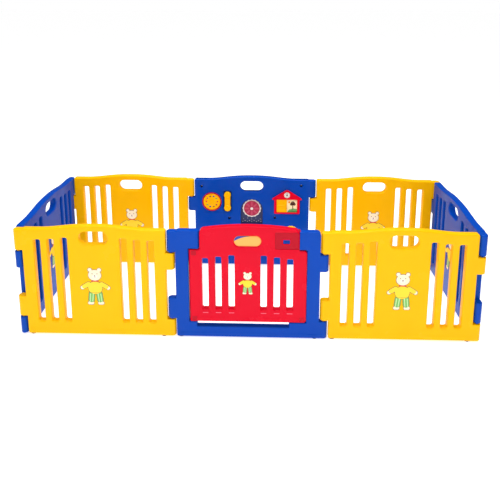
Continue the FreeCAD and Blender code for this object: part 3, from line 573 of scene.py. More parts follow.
@dataclass
class PanelBody:
    """The moulded body that all wide panels share."""

    name: str
    node: str
    body: str
    turn: float
    finish: Finish
    pitch: float = 800.0
    half: float = 20.0
    edge: float = 376.0
    shoulder: float = 598.0
    crown: float = 20.0
    crown_half: float = 285.0
    rim: float = 8.0
    tabs_left: tuple[Point, ...] = ((103.0, 218.0), (479.0, 593.0))
    tabs_right: tuple[Point, ...] = ((0.0, 95.0), (379.0, 471.0))
    tab_gap: float = 8.0
    peg: float = 9.0

    def spot(self) -> Spot:
        """Where the panel stands."""
        return Spot(self.node, self.turn)

    def start(self) -> Piece:
        """The panel's empty piece."""
        return Piece(self.name, self.body, self.spot().matrix())

    def outline(self) -> Loop:
        """The panel's outline with its crowned top.

        Returns:
            The outline's points in order.
        """
        crest = []
        for i in range(1, 32):
            u = self.crown_half * (1 - 2 * i / 32)
            share = 0.5 * (1 + math.cos(math.pi * (abs(u) / self.crown_half) ** 1.25))
            crest.append((u, self.shoulder + self.crown * share, 0.0))
        return rounded([
            (-self.edge, 0, 9.0), (self.edge, 0, 9.0), (self.edge, self.shoulder, 12.0),
            (self.crown_half, self.shoulder, 0.0), *crest,
            (-self.crown_half, self.shoulder, 0.0), (-self.edge, self.shoulder, 12.0),
        ])

    def knuckles(self, piece: Piece) -> None:
        """Adds the four knuckles, and the pegs that show in the gaps under two of them.

        Args:
            piece: The panel's piece.
        """
        for way, tabs in ((-1, self.tabs_left), (1, self.tabs_right)):
            for low, high in tabs:
                self._knuckle(piece, way, low, high)
        for low, _ in self.tabs_left:
            peg = Moulding(ellipse(-self.pitch / 2, 0, self.peg), low - self.tab_gap + 0.2,
                           low + 3, self.finish)
            piece.add(peg, laid(Drawn.IN_PLAN))

    def _knuckle(self, piece: Piece, way: int, low: float, high: float) -> None:
        """One knuckle, round about the hinge axis.

        Args:
            piece: The panel's piece.
            way: -1 for the left edge, 1 for the right.
            low: Its bottom.
            high: Its top.
        """
        reach = self.half - 0.1
        axis = way * self.pitch / 2
        root = way * (self.edge - 14)
        nose = [(axis + way * reach * math.cos(t), reach * math.sin(t))
                for t in (math.pi * (i / 14 - 0.5) for i in range(15))]
        plan = [(root, -reach), *nose, (root, reach)]
        tab = Moulding(plan, low, high, self.finish, rim=5.0)
        piece.add(tab, laid(Drawn.IN_PLAN))


@dataclass
class SlattedPanel(PanelBody):
    """A panel with six upright slots and a hand hole."""

    slot_first: float = 137.0
    slot_wide: float = 35.0
    slot_step: float = 71.0
    slot_low: float = 74.0
    slot_tops: tuple[float, ...] = (550.0, 542.0, 539.0)
    hand: tuple[float, float, float] = (550.0, 150.0, 70.0)

    def slots(self) -> list[Loop]:
        """The outlines of the slots.

        Returns:
            One loop for each slot.
        """
        made = []
        for i, top in enumerate(self.slot_tops):
            near = self.slot_first + i * self.slot_step
            for left, right in ((near, near + self.slot_wide), (-near - self.slot_wide, -near)):
                made.append(block(left, self.slot_low, right, top, 9.0))
        return made

    def build(self) -> bpy.types.Object:
        """Makes the panel."""
        piece = self.start()
        level, wide, tall = self.hand
        hole = stadium(0, level, wide, tall)
        piece.add(Moulding(self.outline(), -self.half, self.half, self.finish, rim=self.rim,
                           holes=[*self.slots(), hole]), laid(Drawn.ON_FACE))
        self.knuckles(piece)
        return piece.done([self.node], self.finish.slot)


@dataclass
class Feet:
    """The two ribbed rubber feet under a panel."""

    panel: str
    body: str
    radius: float = 15.0
    tall: float = 6.0

    def build(self) -> bpy.types.Object:
        """Makes both feet from the places of the CAD feet.

        Returns:
            The finished object.
        """
        node = f"{self.panel}_feet"
        low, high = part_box(node)
        piece = Piece(f"{self.panel}_rubber_feet", self.body, Matrix.Scale(MILLI, 4))
        along_x = high.x - low.x > high.y - low.y
        inset = self.radius * MILLI
        ends = ((low.x + inset, (low.y + high.y) / 2), (high.x - inset, (low.y + high.y) / 2))
        if not along_x:
            ends = (((low.x + high.x) / 2, low.y + inset), ((low.x + high.x) / 2, high.y - inset))
        base = low.z / MILLI
        for x, y in ends:
            r, t = self.radius, self.tall
            profile = [(0, 0), (r * 0.55, 0), (r * 0.6, 0.8), (r * 0.72, 0.8), (r * 0.77, 0),
                       (r * 0.92, 0), (r, 1.2), (r, t - 1.4), (r * 0.93, t), (7, t), (7, t + 8),
                       (0, t + 8)]
            piece.join(turned(profile, 32), RUBBER,
                       Matrix.Translation((x / MILLI, y / MILLI, base)))
        return piece.done([node], "rubber")


@dataclass
class TeddyPrint:
    """A plain teddy printed on both faces of a panel."""

    panel: str
    body: str
    spot: Spot
    tall: float
    base: float
    half: float = 20.0

    def build(self) -> bpy.types.Object:
        """Makes both prints.

        Returns:
            The finished object.
        """
        piece = Piece(f"{self.panel}_teddy", self.body, self.spot.matrix())
        for side in Side:
            self._draw(piece, on_side(side, self.half))
        return piece.done([f"{self.panel}_bear"], "bear_print")

    def _draw(self, piece: Piece, place: Matrix) -> None:
        """Draws one teddy, each colour a little higher than the one under it.

        Args:
            piece: The print's piece.
            place: From the drawing to the panel.
        """
        t = self.tall
        grow = 0.011 * t
        shapes: list[tuple[Shape, Finish, float, tuple[float, ...]]] = [
            (Shape.ROUND, CREAM, 0.84, (-0.115, 0.93, 0.05, 0.05)),
            (Shape.ROUND, CREAM, 0.84, (0.115, 0.93, 0.05, 0.05)),
            (Shape.LIMB, LEAF, 0.80, (-0.10, 0.22, 0.30, 0.145, 84)),
            (Shape.LIMB, LEAF, 0.80, (0.10, 0.22, 0.30, 0.145, 96)),
            (Shape.LIMB, CREAM, 0.76, (-0.125, 0.055, 0.15, 0.085, 0)),
            (Shape.LIMB, CREAM, 0.76, (0.125, 0.055, 0.15, 0.085, 0)),
            (Shape.ROUND, CREAM, 0.82, (-0.315, 0.46, 0.048, 0.048)),
            (Shape.ROUND, CREAM, 0.82, (0.315, 0.46, 0.048, 0.048)),
            (Shape.LIMB, JUMPER, 0.88, (-0.215, 0.525, 0.24, 0.11, 32)),
            (Shape.LIMB, JUMPER, 0.88, (0.215, 0.525, 0.24, 0.11, -32)),
            (Shape.ROUND, JUMPER, 0.92, (0, 0.46, 0.175, 0.165)),
            (Shape.ROUND, CREAM, 0.98, (0, 0.79, 0.158, 0.14)),
        ]
        for kind, _, _, sizes in shapes:
            self._lay(piece, place, kind, BROWN, 0.55, sizes, grow)
        for kind, finish, high, sizes in shapes:
            self._lay(piece, place, kind, finish, high, sizes, 0.0)
        details: list[tuple[Shape, Finish, float, tuple[float, ...]]] = [
            (Shape.LIMB, SCARLET, 1.02, (0, 0.635, 0.19, 0.028, 0)),
            (Shape.ROUND, MUZZLE, 1.10, (0, 0.755, 0.062, 0.048)),
            (Shape.ROUND, BROWN, 1.22, (0, 0.775, 0.02, 0.014)),
            (Shape.ROUND, BROWN, 1.12, (-0.06, 0.83, 0.011, 0.014)),
            (Shape.ROUND, BROWN, 1.12, (0.06, 0.83, 0.011, 0.014)),
            (Shape.LIMB, BROWN, 1.20, (0, 0.742, 0.055, 0.008, 0)),
            (Shape.ROUND, MUZZLE, 0.9, (-0.115, 0.935, 0.024, 0.024)),
            (Shape.ROUND, MUZZLE, 0.9, (0.115, 0.935, 0.024, 0.024)),
            (Shape.LIMB, PALE_LEAF, 0.9, (-0.135, 0.20, 0.22, 0.022, 84)),
            (Shape.LIMB, PALE_LEAF, 0.9, (-0.07, 0.20, 0.22, 0.022, 84)),
            (Shape.LIMB, PALE_LEAF, 0.9, (0.07, 0.20, 0.22, 0.022, 96)),
            (Shape.LIMB, PALE_LEAF, 0.9, (0.135, 0.20, 0.22, 0.022, 96)),
            (Shape.LIMB, BROWN, 1.0, (0, 0.33, 0.30, 0.008, 0)),
        ]
        for kind, finish, high, sizes in details:
            self._lay(piece, place, kind, finish, high, sizes, 0.0)

    def _lay(self, piece: Piece, place: Matrix, kind: Shape, finish: Finish, high: float,
             sizes: tuple[float, ...], grow: float) -> None:
        """Lays one shape of the teddy.

        Args:
            piece: The print's piece.
            place: From the drawing to the panel.
            kind: Which outline it is.
            finish: Its colour.
            high: How far it stands off the panel.
            sizes: Its sizes as shares of the teddy's height.
            grow: How much larger it is all round.
        """
        t = self.tall
        u, v = sizes[0] * t, self.base + sizes[1] * t
        if kind is Shape.ROUND:
            loop = ellipse(u, v, sizes[2] * t + grow, sizes[3] * t + grow)
        else:
            loop = stadium(u, v, sizes[2] * t + 2 * grow, sizes[3] * t + 2 * grow, sizes[4])
        piece.add(Moulding(loop, 0.0, high, finish), place)


# ---- gate -----------------------------------------------------------------------------------


def bolt_mouth(panel: str, slack: float) -> Loop:
    """The bolt's cross-section, drawn across the gate, larger by a slack all round.

    Args:
        panel: The node whose middle and bottom edge the drawing is measured from.
        slack: How much larger it is.

    Returns:
        The outline's points in order.
    """
    base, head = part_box(panel)
    low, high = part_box("latch_bolt")
    middle = (base.y + head.y) / 2
    return block((low.y - middle) / MILLI - slack, (low.z - base.z) / MILLI - slack,
                 (high.y - middle) / MILLI + slack, (high.z - base.z) / MILLI + slack)


@dataclass
class GateFrame(PanelBody):
    """The frame of two posts, their wider shoulders and a stepped sill."""

    post: float = 68.0
    right_shoulder: float = 268.0
    under: float = 500.0
    sill: float = 58.0
    step: float = 87.0
    step_left: float = -266.0
    step_right: float = 218.0
    axis: float = -280.0
    nose: float = 30.0

    def build(self) -> bpy.types.Object:
        """Makes the frame.

        Returns:
            The finished object.
        """
        piece = self.start()
        inner = self.edge - self.post
        chord = self.axis + math.sqrt(self.nose ** 2 - self.half ** 2)
        top = self.shoulder
        outline = rounded([
            (-self.edge, 0, 9.0), (self.edge, 0, 9.0), (self.edge, top, 20.0),
            (self.right_shoulder + 12, top, 0.0), (self.right_shoulder + 12, self.under, 0.0),
            (inner, self.under, 3.0), (inner, self.step, 2.0), (self.step_right, self.step, 0.0),
            (self.step_right, self.sill, 2.0), (self.step_left, self.sill, 2.0),
            (self.step_left, self.step, 0.0), (-inner, self.step, 2.0),
            (-inner, self.under, 3.0), (chord, self.under, 0.0), (chord, top, 0.0),
            (-self.edge, top, 20.0),
        ])
        piece.add(Moulding(outline, -self.half, self.half, self.finish, rim=5.0),
                  laid(Drawn.ON_FACE))
        reach = self.half - 0.1
        spread = math.asin(reach / self.nose)
        nose = [(self.axis + self.nose * math.cos(t), self.nose * math.sin(t))
                for t in (spread * (i / 5 - 1) for i in range(11))]
        plan = [(self.axis - 6, -reach), *nose, (self.axis - 6, reach)]
        piece.add(Moulding(plan, self.under, top - 0.2, self.finish, rim=3.0),
                  laid(Drawn.IN_PLAN))
        self._keeper(piece)
        for left, right in ((-360.0, -324.0), (318.0, 360.0)):
            rib = block(left, 20, right, 24, 1.5)
            piece.add(Moulding(rib, 0.0, 1.4, self.finish, rim=0.6, steps=2),
                      on_side(Side.OUTSIDE, self.half))
        self.knuckles(piece)
        return piece.done([self.node, "gate_keeper"], self.finish.slot)

    def _keeper(self, piece: Piece) -> None:
        """Adds the end of the right shoulder with the cup that the bolt enters.

        Args:
            piece: The frame's piece.
        """
        # the cup's floor is painted darker blue as shade
        mouth = Recess(bolt_mouth(self.node, 2.0), 11.0, BLUE_PAINTED_SHADE, 1.0)
        reach = self.half - 0.1
        end = Moulding(block(-reach, self.under, reach, self.shoulder - 0.2, 5.0), -30.0, 0.0,
                       self.finish, rim=3.0, recesses=[mouth])
        piece.add(end, Matrix(((0, 0, -1, self.right_shoulder), (1, 0, 0, 0), (0, 1, 0, 0),
                               (0, 0, 0, 1))))


@dataclass
class GateDoor:
    """The door: a wide lower part, a narrower crowned upper part, slots and hollows."""

    spot: Spot
    half: float = 20.0
    axis: float = -280.0
    nose: float = 26.8
    low: float = 89.0
    low_top: float = 495.0
    right: float = 306.8
    high_left: float = -248.8
    high_right: float = 266.8
    corner: float = 605.0
    crown: float = 21.0
    slot_first: float = 67.5
    slot_wide: float = 33.0
    slot_step: float = 68.4
    slot_low: float = 158.0
    slot_tops: tuple[float, ...] = (466.0, 457.0, 448.0)
    badge: tuple[float, float, float] = (543.5, 150.0, 71.0)
    latch: tuple[float, float, float, float] = (139.8, 501.5, 263.8, 596.5)
    button: Point = (200.0, 543.0)

    def outline(self) -> Loop:
        """The door's outline.

        Returns:
            The outline's points in order.
        """
        left, right = self.high_left, self.high_right
        middle, half = (left + right) / 2, (right - left) / 2
        crest = []
        for i in range(1, 28):
            share = 1 - 2 * i / 28
            crest.append((middle + share * half * 0.94,
                          self.corner + self.crown * (1 - share ** 2 * 0.9), 0.0))
        chord = self.axis - math.sqrt(self.nose ** 2 - self.half ** 2)
        return rounded([
            (chord, self.low, 0.0), (self.right, self.low, 14.0),
            (self.right, self.low_top, 16.0), (right, self.low_top, 8.0),
            (right, self.corner + 1, 22.0), *crest, (left, self.corner + 1, 22.0),
            (left, self.low_top, 8.0), (chord, self.low_top, 0.0),
        ])

    def slots(self) -> list[Loop]:
        """The outlines of the slots."""
        made = []
        for i, top in enumerate(self.slot_tops):
            near = self.slot_first + i * self.slot_step
            for left, right in ((near, near + self.slot_wide), (-near - self.slot_wide, -near)):
                made.append(block(left, self.slot_low, right, top, 8.0))
        return made

    def build(self) -> bpy.types.Object:
        """Makes the door with its hollows, ledges, hinge covers and latch relief.

        Returns:
            The finished object.
        """
        piece = Piece("gate_door_moulding", "door", self.spot.matrix())
        level, wide, tall = self.badge
        left, low, right, high = self.latch
        hollows = [
            Recess(stadium(0, level, wide, tall), 5.0, RED, 3.5),
            # the latch hollow's floor is painted darker red as shade
            Recess(block(-right, low, -left, high, 8.0), 18.3, RED_DARK_AND_PAINTED_SHADE, 1.6),
        ]
        mirrored = [(-u, v) for u, v in self.outline()]
        holes = [[(-u, v) for u, v in loop] for loop in self.slots()]
        # drawn from the inside, so that the high side is the outer face
        piece.add(Moulding(mirrored, -self.half, self.half, RED, rim=6.0, holes=holes,
                           recesses=hollows), self._outwards())
        self._nose(piece)
        self._trim(piece)
        return piece.done(["gate_door"], "red")

    @staticmethod
    def _outwards() -> Matrix:
        """A mirrored drawing whose high side is the panel's outer face."""
        return Matrix(((-1, 0, 0, 0), (0, 0, -1, 0), (0, 1, 0, 0), (0, 0, 0, 1)))

    def _nose(self, piece: Piece) -> None:
        """Adds the round hinge edge of the lower part."""
        reach = self.half - 0.1
        spread = math.asin(reach / self.nose)
        arc = [(self.axis - self.nose * math.cos(t), self.nose * math.sin(t))
               for t in (spread * (i / 5 - 1) for i in range(11))]
        plan = [(self.axis + 8, -reach), *arc, (self.axis + 8, reach)]
        piece.add(Moulding(plan, self.low, self.low_top, RED, rim=3.0), laid(Drawn.IN_PLAN))

    def _trim(self, piece: Piece) -> None:
        """Adds the raised trim of the outer face.

        Args:
            piece: The door's piece.
        """
        face = on_side(Side.OUTSIDE, self.half)
        for i in range(len(self.slot_tops)):
            near = self.slot_first + i * self.slot_step
            for left in (near, -near - self.slot_wide):
                # each ledge is painted light pink as a highlight
                ledge = block(left + 2, 140, left + self.slot_wide - 2, 144, 1.5)
                piece.add(Moulding(ledge, -0.5, 1.6, RED_PAINTED_HIGHLIGHT, rim=0.6, steps=2), face)
        for low in (self.low + 4, self.low_top - 30):
            cover = block(self.axis - 12, low, self.axis + 14, low + 26, 4.0)
            piece.add(Moulding(cover, -0.5, 1.2, RED_DARK_AND_PAINTED_SHADE, rim=0.5, steps=2), face)
        for i in range(5):
            rib = block(self.right - 36 + i * 6, 96, self.right - 33 + i * 6, 120, 1.0)
            piece.add(Moulding(rib, -0.5, 1.2, RED_DARK_AND_PAINTED_SHADE, rim=0.5, steps=2), face)
        u, v = self.button
        left, low, right, high = self.latch
        window = block(u - 18.2, v - 11.8, u + 18.2, v + 11.8, 2.0)
        # the plate inside the latch hollow is painted darker red as shade
        plate = block(left + 1.5, low + 1.5, right - 1.5, high - 1.5, 6.0)
        piece.add(Moulding(plate, -8.8, -3.0, RED_DARK_AND_PAINTED_SHADE, rim=0.6, steps=2, holes=[window]), face)
        frame_loop = block(u - 22, v - 16, u + 22, v + 16, 4.0)
        piece.add(Moulding(frame_loop, -3.6, -1.4, RED, rim=0.8, steps=2, holes=[window]), face)
        guide = Moulding(bolt_mouth("gate_frame", 3.5), -2.0, 0.4, RED_DARK_AND_PAINTED_SHADE, rim=0.3, steps=2,
                         holes=[bolt_mouth("gate_frame", 0.5)])
        piece.add(guide, Matrix(((0, 0, 1, self.high_right), (1, 0, 0, 0), (0, 1, 0, 0),
                                 (0, 0, 0, 1))))


@dataclass
class Badge:
    """The two-tone oval in the door's hollow, with no mark on it."""

    def build(self) -> bpy.types.Object:
        """Makes the badge on the place of its CAD plate.

        Returns:
            The finished object.
        """
        half, _, tall = halves("gate_badge")
        piece = Piece("gate_oval_badge", "door", stood("gate_badge", Side.OUTSIDE))
        rim = stadium(0, 0, 2 * half, 2 * tall)
        piece.add(Moulding(rim, 0, 1.5, ORANGE, rim=0.4, steps=2))
        inner = stadium(0, 0, 2 * half - 7, 2 * tall - 7)
        piece.add(Moulding(inner, 1.0, 1.8, GOLD, rim=0.2, steps=1))
        left = sorted(((u, v) for u, v in stadium(0, 0, 2 * half - 3, 2 * tall - 3)
                       if u < 0 and v > -tall * 0.2), key=lambda spot: spot[1])
        (u0, v0), (u1, v1) = left[0], (half * 0.25, left[-1][1])
        sweep = [(u1 + (u0 - u1) * i / 8,
                  v1 + (v0 - v1) * (i / 8) ** 2) for i in range(9)]
        corner = left + sweep[:-1]
        piece.add(Moulding(corner, 1.2, 2.2, BADGE_BLUE, rim=0.3, steps=2))
        return piece.done(["gate_badge"], "badge_print")


@dataclass
class LatchKnob:
    """The fluted round knob on the door's inner face, with its shaft and crank."""

    flutes: int = 18
    flute_deep: float = 1.6
    deep: float = 22.0
    shaft: float = 15.9
    crank: float = 12.0
    crank_pin: float = 2.9

    def build(self) -> bpy.types.Object:
        """Makes the knob.

        Returns:
            The finished object.
        """
        radius = halves("latch_knob").x
        piece = Piece("latch_turn_knob", "knob", stood("latch_knob", Side.INSIDE))
        outline = fluted(radius, self.flute_deep, self.flutes, self.flutes * 6)
        hollow = Recess(ellipse(0, 0, radius * 0.62, steps=48), 4.0, YELLOW, 2.0)
        piece.add(Moulding(outline, -self.deep, 0.0, YELLOW, rim=4.0, recesses=[hollow]))
        grip = stadium(0, 0, radius * 1.12, 12, 90)
        piece.add(Moulding(grip, -5.0, -0.4, YELLOW, rim=2.0))
        shaft = ellipse(0, 0, self.shaft, steps=40)
        piece.add(Moulding(shaft, -self.deep - 7.0, -self.deep + 2, YELLOW))
        pin = ellipse(-self.crank, 0, self.crank_pin, steps=20)
        piece.add(Moulding(pin, -self.deep - 17.4, -self.deep - 5, YELLOW))
        return piece.done(["latch_knob"], "yellow")


@dataclass
class LatchButton:
    """The blue lock button with three grip ribs."""

    ribs: tuple[float, ...] = (-5.0, 0.0, 5.0)

    def build(self) -> bpy.types.Object:
        """Makes the button.

        Returns:
            The finished object.
        """
        wide, half_deep, tall = halves("latch_button")
        deep = 2 * half_deep
        piece = Piece("latch_lock_button", "button", stood("latch_button", Side.OUTSIDE))
        piece.add(Moulding(block(-wide, -tall, wide, tall, 2.5), 0, deep - 0.6, BLUE, rim=1.2))
        for v in self.ribs:
            piece.add(Moulding(stadium(0, v, wide * 1.4, 1.8), deep - 1.5, deep, BLUE, rim=0.5,
                               steps=2))
        return piece.done(["latch_button"], "blue")


@dataclass
class ButtonSpring:
    """The button's small steel spring."""

    wire: float = 0.5
    turns: float = 2.5
    travel: float = 2.8
    steps: int = 60

    def build(self) -> bpy.types.Object:
        """Makes the spring.

        Returns:
            The finished object.
        """
        low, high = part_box("latch_spring")
        length = (high.y - low.y) / MILLI
        radius = (high.x - low.x) / 2 / MILLI - self.wire
        bm = bmesh.new()
        bmesh.ops.create_circle(bm, cap_ends=False, segments=10, radius=self.wire)
        bmesh.ops.rotate(bm, matrix=Matrix.Rotation(math.pi / 2, 3, "X"), verts=bm.verts)
        bmesh.ops.translate(bm, vec=(radius, 0, self.wire), verts=bm.verts)
        rise = (length - 2 * self.wire) / self.steps
        bmesh.ops.spin(bm, geom=list(bm.verts) + list(bm.edges), axis=(0, 0, 1),
                       cent=(0, 0, 0), dvec=(0, 0, rise), angle=math.tau * self.turns,
                       steps=self.steps)
        bmesh.ops.holes_fill(bm, edges=[edge for edge in bm.edges if edge.is_boundary],
                             sides=0)
        piece = Piece("latch_button_spring", "door", stood("latch_spring", Side.OUTSIDE))
        piece.join(bm, STEEL)
        made = piece.done(["latch_spring"], "steel")
        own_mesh(made)
        return made


# ---- activity panel -------------------------------------------------------------------------


@dataclass
class Toys:
    """Places on the activity panel's inner face, from its CAD node."""

    node: str = "activity_panel"

    def face(self) -> Matrix:
        """From millimetres on the face (x along the pen, height, out of it) to the pen."""
        low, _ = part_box(self.node)
        return (Matrix.Translation((0.0, low.y, low.z)) @ Matrix.Scale(MILLI, 4)
                @ Matrix(((1, 0, 0, 0), (0, 0, -1, 0), (0, 1, 0, 0), (0, 0, 0, 1))))

    def about(self, node: str) -> tuple[float, float, float, float]:
        """Where a toy is on the face.

        Args:
            node: Its CAD node.

        Returns:
            Its middle along the face, its middle height, and its lowest and highest stand-off.
        """
        back = self.face().inverted()
        low, high = (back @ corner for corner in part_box(node))
        rise = sorted((low.z, high.z))
        return (low.x + high.x) / 2, (low.y + high.y) / 2, rise[0], rise[1]

    def start(self, name: str, body: str, node: str) -> tuple[Piece, float, float]:
        """An empty piece about a toy's middle on the face.

        Args:
            name: The piece's name.
            body: The CAD body it moves with.
            node: The toy's CAD node.

        Returns:
            The piece, and the toy's lowest and highest stand-off.
        """
        u, v, low, high = self.about(node)
        return Piece(name, body, self.face() @ Matrix.Translation((u, v, 0))), low, high


def arch(middle: float, half: float, low: float, spring: float) -> Loop:
    """A window outline with a half-round head.

    Args:
        middle: Middle along the face.
        half: Half width.
        low: Bottom.
        spring: Where the round head starts.

    Returns:
        The outline's points in order.
    """
    head = [(middle + half * math.cos(t), spring + half * math.sin(t))
            for t in (math.pi * i / 24 for i in range(25))]
    return rounded([(middle - half, low, 6.0), (middle + half, low, 6.0),
                    *((u, v, 0.0) for u, v in head)])


@dataclass
class ActivityPanel(PanelBody):
    """The blue panel with hollows for the toys and screw wells."""

    hand: tuple[float, float, float] = (550.0, 150.0, 70.0)
    wells: tuple[Point, ...] = ((-330, 549), (324, 558), (-149, 329), (153, 335), (-314, 53),
                                (228, 53))
    well: float = 10.0

    def build(self) -> bpy.types.Object:
        """Makes the panel.

        Returns:
            The finished object.
        """
        toys = Toys()
        piece = self.start()
        level, wide, tall = self.hand
        dial, dial_v, *_ = toys.about("phone_bezel")
        grip, grip_v, *_ = toys.about("phone_handset")
        grip_wide, _, grip_tall = halves("phone_handset")
        tray, tray_v, *_ = toys.about("roller_tray")
        tray_wide, _, tray_tall = halves("roller_tray")
        # the floors of these hollows and screw wells are painted darker blue as shade
        hollows = [
            Recess(ellipse(dial, dial_v, 60.0, steps=48), 8.0, BLUE_PAINTED_SHADE, 1.0),
            Recess(block(grip - grip_wide - 7, grip_v - grip_tall - 7, grip + grip_wide + 7,
                         grip_v + grip_tall + 7, 14.0), 14.0, BLUE_PAINTED_SHADE, 4.0),
            Recess(arch(0, 75, 285, 390), 20.0, BLUE_PAINTED_SHADE, 3.0),
            Recess(block(tray - tray_wide + 0.3, tray_v - tray_tall + 0.3,
                         tray + tray_wide - 0.3, tray_v + tray_tall - 0.3, 1.0), 19.0, BLUE_PAINTED_SHADE,
                   0.4),
        ]
        hollows += [Recess(ellipse(u, v, self.well, steps=24), 23.6, BLUE_PAINTED_SHADE, 1.5)
                    for u, v in self.wells]
        place = Matrix(((-1, 0, 0, 0), (0, 0, 1, 0), (0, 1, 0, 0), (0, 0, 0, 1)))
        # the panel's own x runs against the pen's, and the drawing is in the pen's
        piece.add(Moulding(self.outline(), -self.half + 4.2, self.half, self.finish,
                           rim=self.rim, holes=[stadium(0, level, wide, tall)],
                           recesses=hollows), place)
        self._back(piece, place)
        ledge = block(-322, 366, -128, 370, 1.5)
        flat = Matrix(((-1, 0, 0, 0), (0, 0, 1, self.half), (0, 1, 0, 0), (0, 0, 0, 1)))
        piece.add(Moulding(ledge, -0.5, 1.6, self.finish, rim=0.7, steps=2), flat)
        self.knuckles(piece)
        return piece.done([self.node], self.finish.slot)

    def _back(self, piece: Piece, place: Matrix) -> None:
        """Adds the outer skin round the rear cover.

        Args:
            piece: The panel's piece.
            place: From the drawing to the panel.
        """
        level, wide, tall = self.hand
        notch = [(-349.5, 28.5), (349.5, 28.5), (349.5, 581.5), (95.5, 581.5), (95.5, 499.5),
                 (-95.5, 499.5), (-95.5, 581.5), (-349.5, 581.5)]
        rebate = [(u + math.copysign(0.6, u), v + (0.6 if v > 60 and v != 499.5 else -0.6))
                  for u, v in notch]
        hole = stadium(0, level, wide, tall)
        piece.add(Moulding(self.outline(), -self.half, self.half - 9.0, self.finish,
                           rim=self.rim, holes=[rebate, hole]), place)


@dataclass
class Telephone:
    """Round bezel, finger dial and handset."""

    holes: int = 10
    ring: float = 37.0

    def build(self) -> None:
        """Makes the bezel, the dial and the handset."""
        self._bezel()
        self._dial()
        self._handset()

    def _bezel(self) -> None:
        """A rounded ring with a floor."""
        piece, low, high = Toys().start("phone_ring", "activity", "phone_bezel")
        radius = halves("phone_bezel").x
        inner = radius - 7
        profile = [(0, low), (radius - 1, low), (radius, low + 1), (radius, high - 3),
                   (radius - 1, high - 1), (radius - 3, high), (inner + 3, high),
                   (inner + 1, high - 1), (inner, high - 3), (inner, low + 4), (0, low + 4)]
        piece.join(turned(profile, 64), RED_DARK_AND_PAINTED_SHADE)
        piece.done(["phone_bezel"], "red")

    def _dial(self) -> None:
        """A dial with finger wells and a coloured dot in each."""
        piece, low, high = Toys().start("phone_finger_dial", "dial", "phone_dial")
        radius = halves("phone_dial").x
        turns = [math.tau * i / self.holes for i in range(self.holes)]
        wells = [ellipse(self.ring * math.cos(t), self.ring * math.sin(t), 7.6, steps=20)
                 for t in turns]
        disc = Moulding(ellipse(0, 0, radius, steps=64), low, high, YELLOW, rim=1.6,
                        recesses=[Recess(well, 3.2, YELLOW, 1.2) for well in wells])
        piece.add(disc)
        colours = (SCARLET, LEAF, BADGE_BLUE, BROWN, MAROON)
        for i, t in enumerate(turns):
            dot = dome(5.2, 5.2, 2.4)
            piece.join(dot, colours[i % len(colours)], Matrix.Translation(
                (self.ring * math.cos(t), self.ring * math.sin(t), high - 3.4)))
        piece.add(Moulding(ellipse(0, 0, 20, steps=40), high - 1, high + 0.3, YELLOW, rim=0.6,
                           steps=2, holes=[ellipse(0, 0, 4.2, steps=20)]))
        piece.done(["phone_dial"], "yellow")

    @staticmethod
    def _handset() -> None:
        """A handset with round ends, a slim grip and dimpled ear pieces."""
        piece, low, high = Toys().start("phone_toy_handset", "handset", "phone_handset")
        wide, _, tall = halves("phone_handset")
        for way in (-1, 1):
            end = way * (tall - wide)
            dents = [ellipse(6 * math.cos(t), end + 6 * math.sin(t), 2.0, steps=12)
                     for t in (math.tau * i / 5 for i in range(5))]
            cup = Moulding(ellipse(0, end, wide, steps=40), low, high, YELLOW, rim=6.0,
                           recesses=[Recess(dent, 1.5, YELLOW, 0.5) for dent in dents])
            piece.add(cup)
        slim = wide * 0.84
        grip = Moulding(block(-slim, -tall + wide, slim, tall - wide), low + 4, high - 4, YELLOW,
                        rim=5.0)
        piece.add(grip)
        piece.add(Moulding(stadium(0, 0, tall * 0.7, 7, 90), high - 5, high - 3, YELLOW,
                           rim=0.8, steps=2))
        piece.done(["phone_handset"], "yellow")


@dataclass
class SpinnerWindow:
    """The card behind the arch and the round spinner."""

    blades: int = 8
    scallops: int = 16
    scallop_deep: float = 3.4

    def build(self) -> None:
        """Makes the card and the spinner."""
        toys = Toys()
        u, _, low, high = toys.about("spinner_backplate")
        wide = halves("spinner_backplate").x
        piece = Piece("spinner_card", "activity", toys.face())
        card = Moulding(arch(u, wide, 286, 390), low, high, SLATE,
                        holes=[ellipse(u, 395, 4.4, steps=20)])
        piece.add(card)
        for i in range(9):
            dot = ellipse(u - 60 + i * 15, 300 + 7 * (i % 2), 2.0, steps=12)
            piece.add(Moulding(dot, high - 0.4, high + 0.3, WHITE))
        for i in range(5):
            star = ellipse(u - 56 + i * 28, 318 + 5 * (i % 2), 1.6, steps=12)
            piece.add(Moulding(star, high - 0.4, high + 0.3, WHITE))
        piece.done(["spinner_backplate"], "slate_print")
        self._wheel(toys)

    def _wheel(self, toys: Toys) -> None:
        """A wheel with a scalloped pale rim and raised petals.

        Args:
            toys: Places on the face.
        """
        piece, low, high = toys.start("spinner_petal_wheel", "spinner", "spinner_wheel")
        radius = halves("spinner_wheel").x
        bore = ellipse(0, 0, 4.3, steps=24)
        rim = fluted(radius, self.scallop_deep, self.scallops, self.scallops * 8)
        piece.add(Moulding(rim, low, low + 3, WHITE, rim=0.8, steps=2, holes=[bore]))
        piece.add(Moulding(ellipse(0, 0, radius - 10, steps=64), low + 2, high - 2, MAROON,
                           rim=1.2, holes=[bore]))
        for i in range(self.blades):
            t = math.tau * i / self.blades
            petal = stadium(radius * 0.52 * math.cos(t), radius * 0.52 * math.sin(t),
                            radius * 0.5, radius * 0.2, math.degrees(t))
            piece.add(Moulding(petal, high - 3, high - 0.3, ROSE, rim=1.0))
        piece.add(Moulding(ellipse(0, 0, 13, steps=32), high - 3, high, ROSE, rim=1.0,
                           holes=[bore]))
        piece.done(["spinner_wheel"], "maroon")


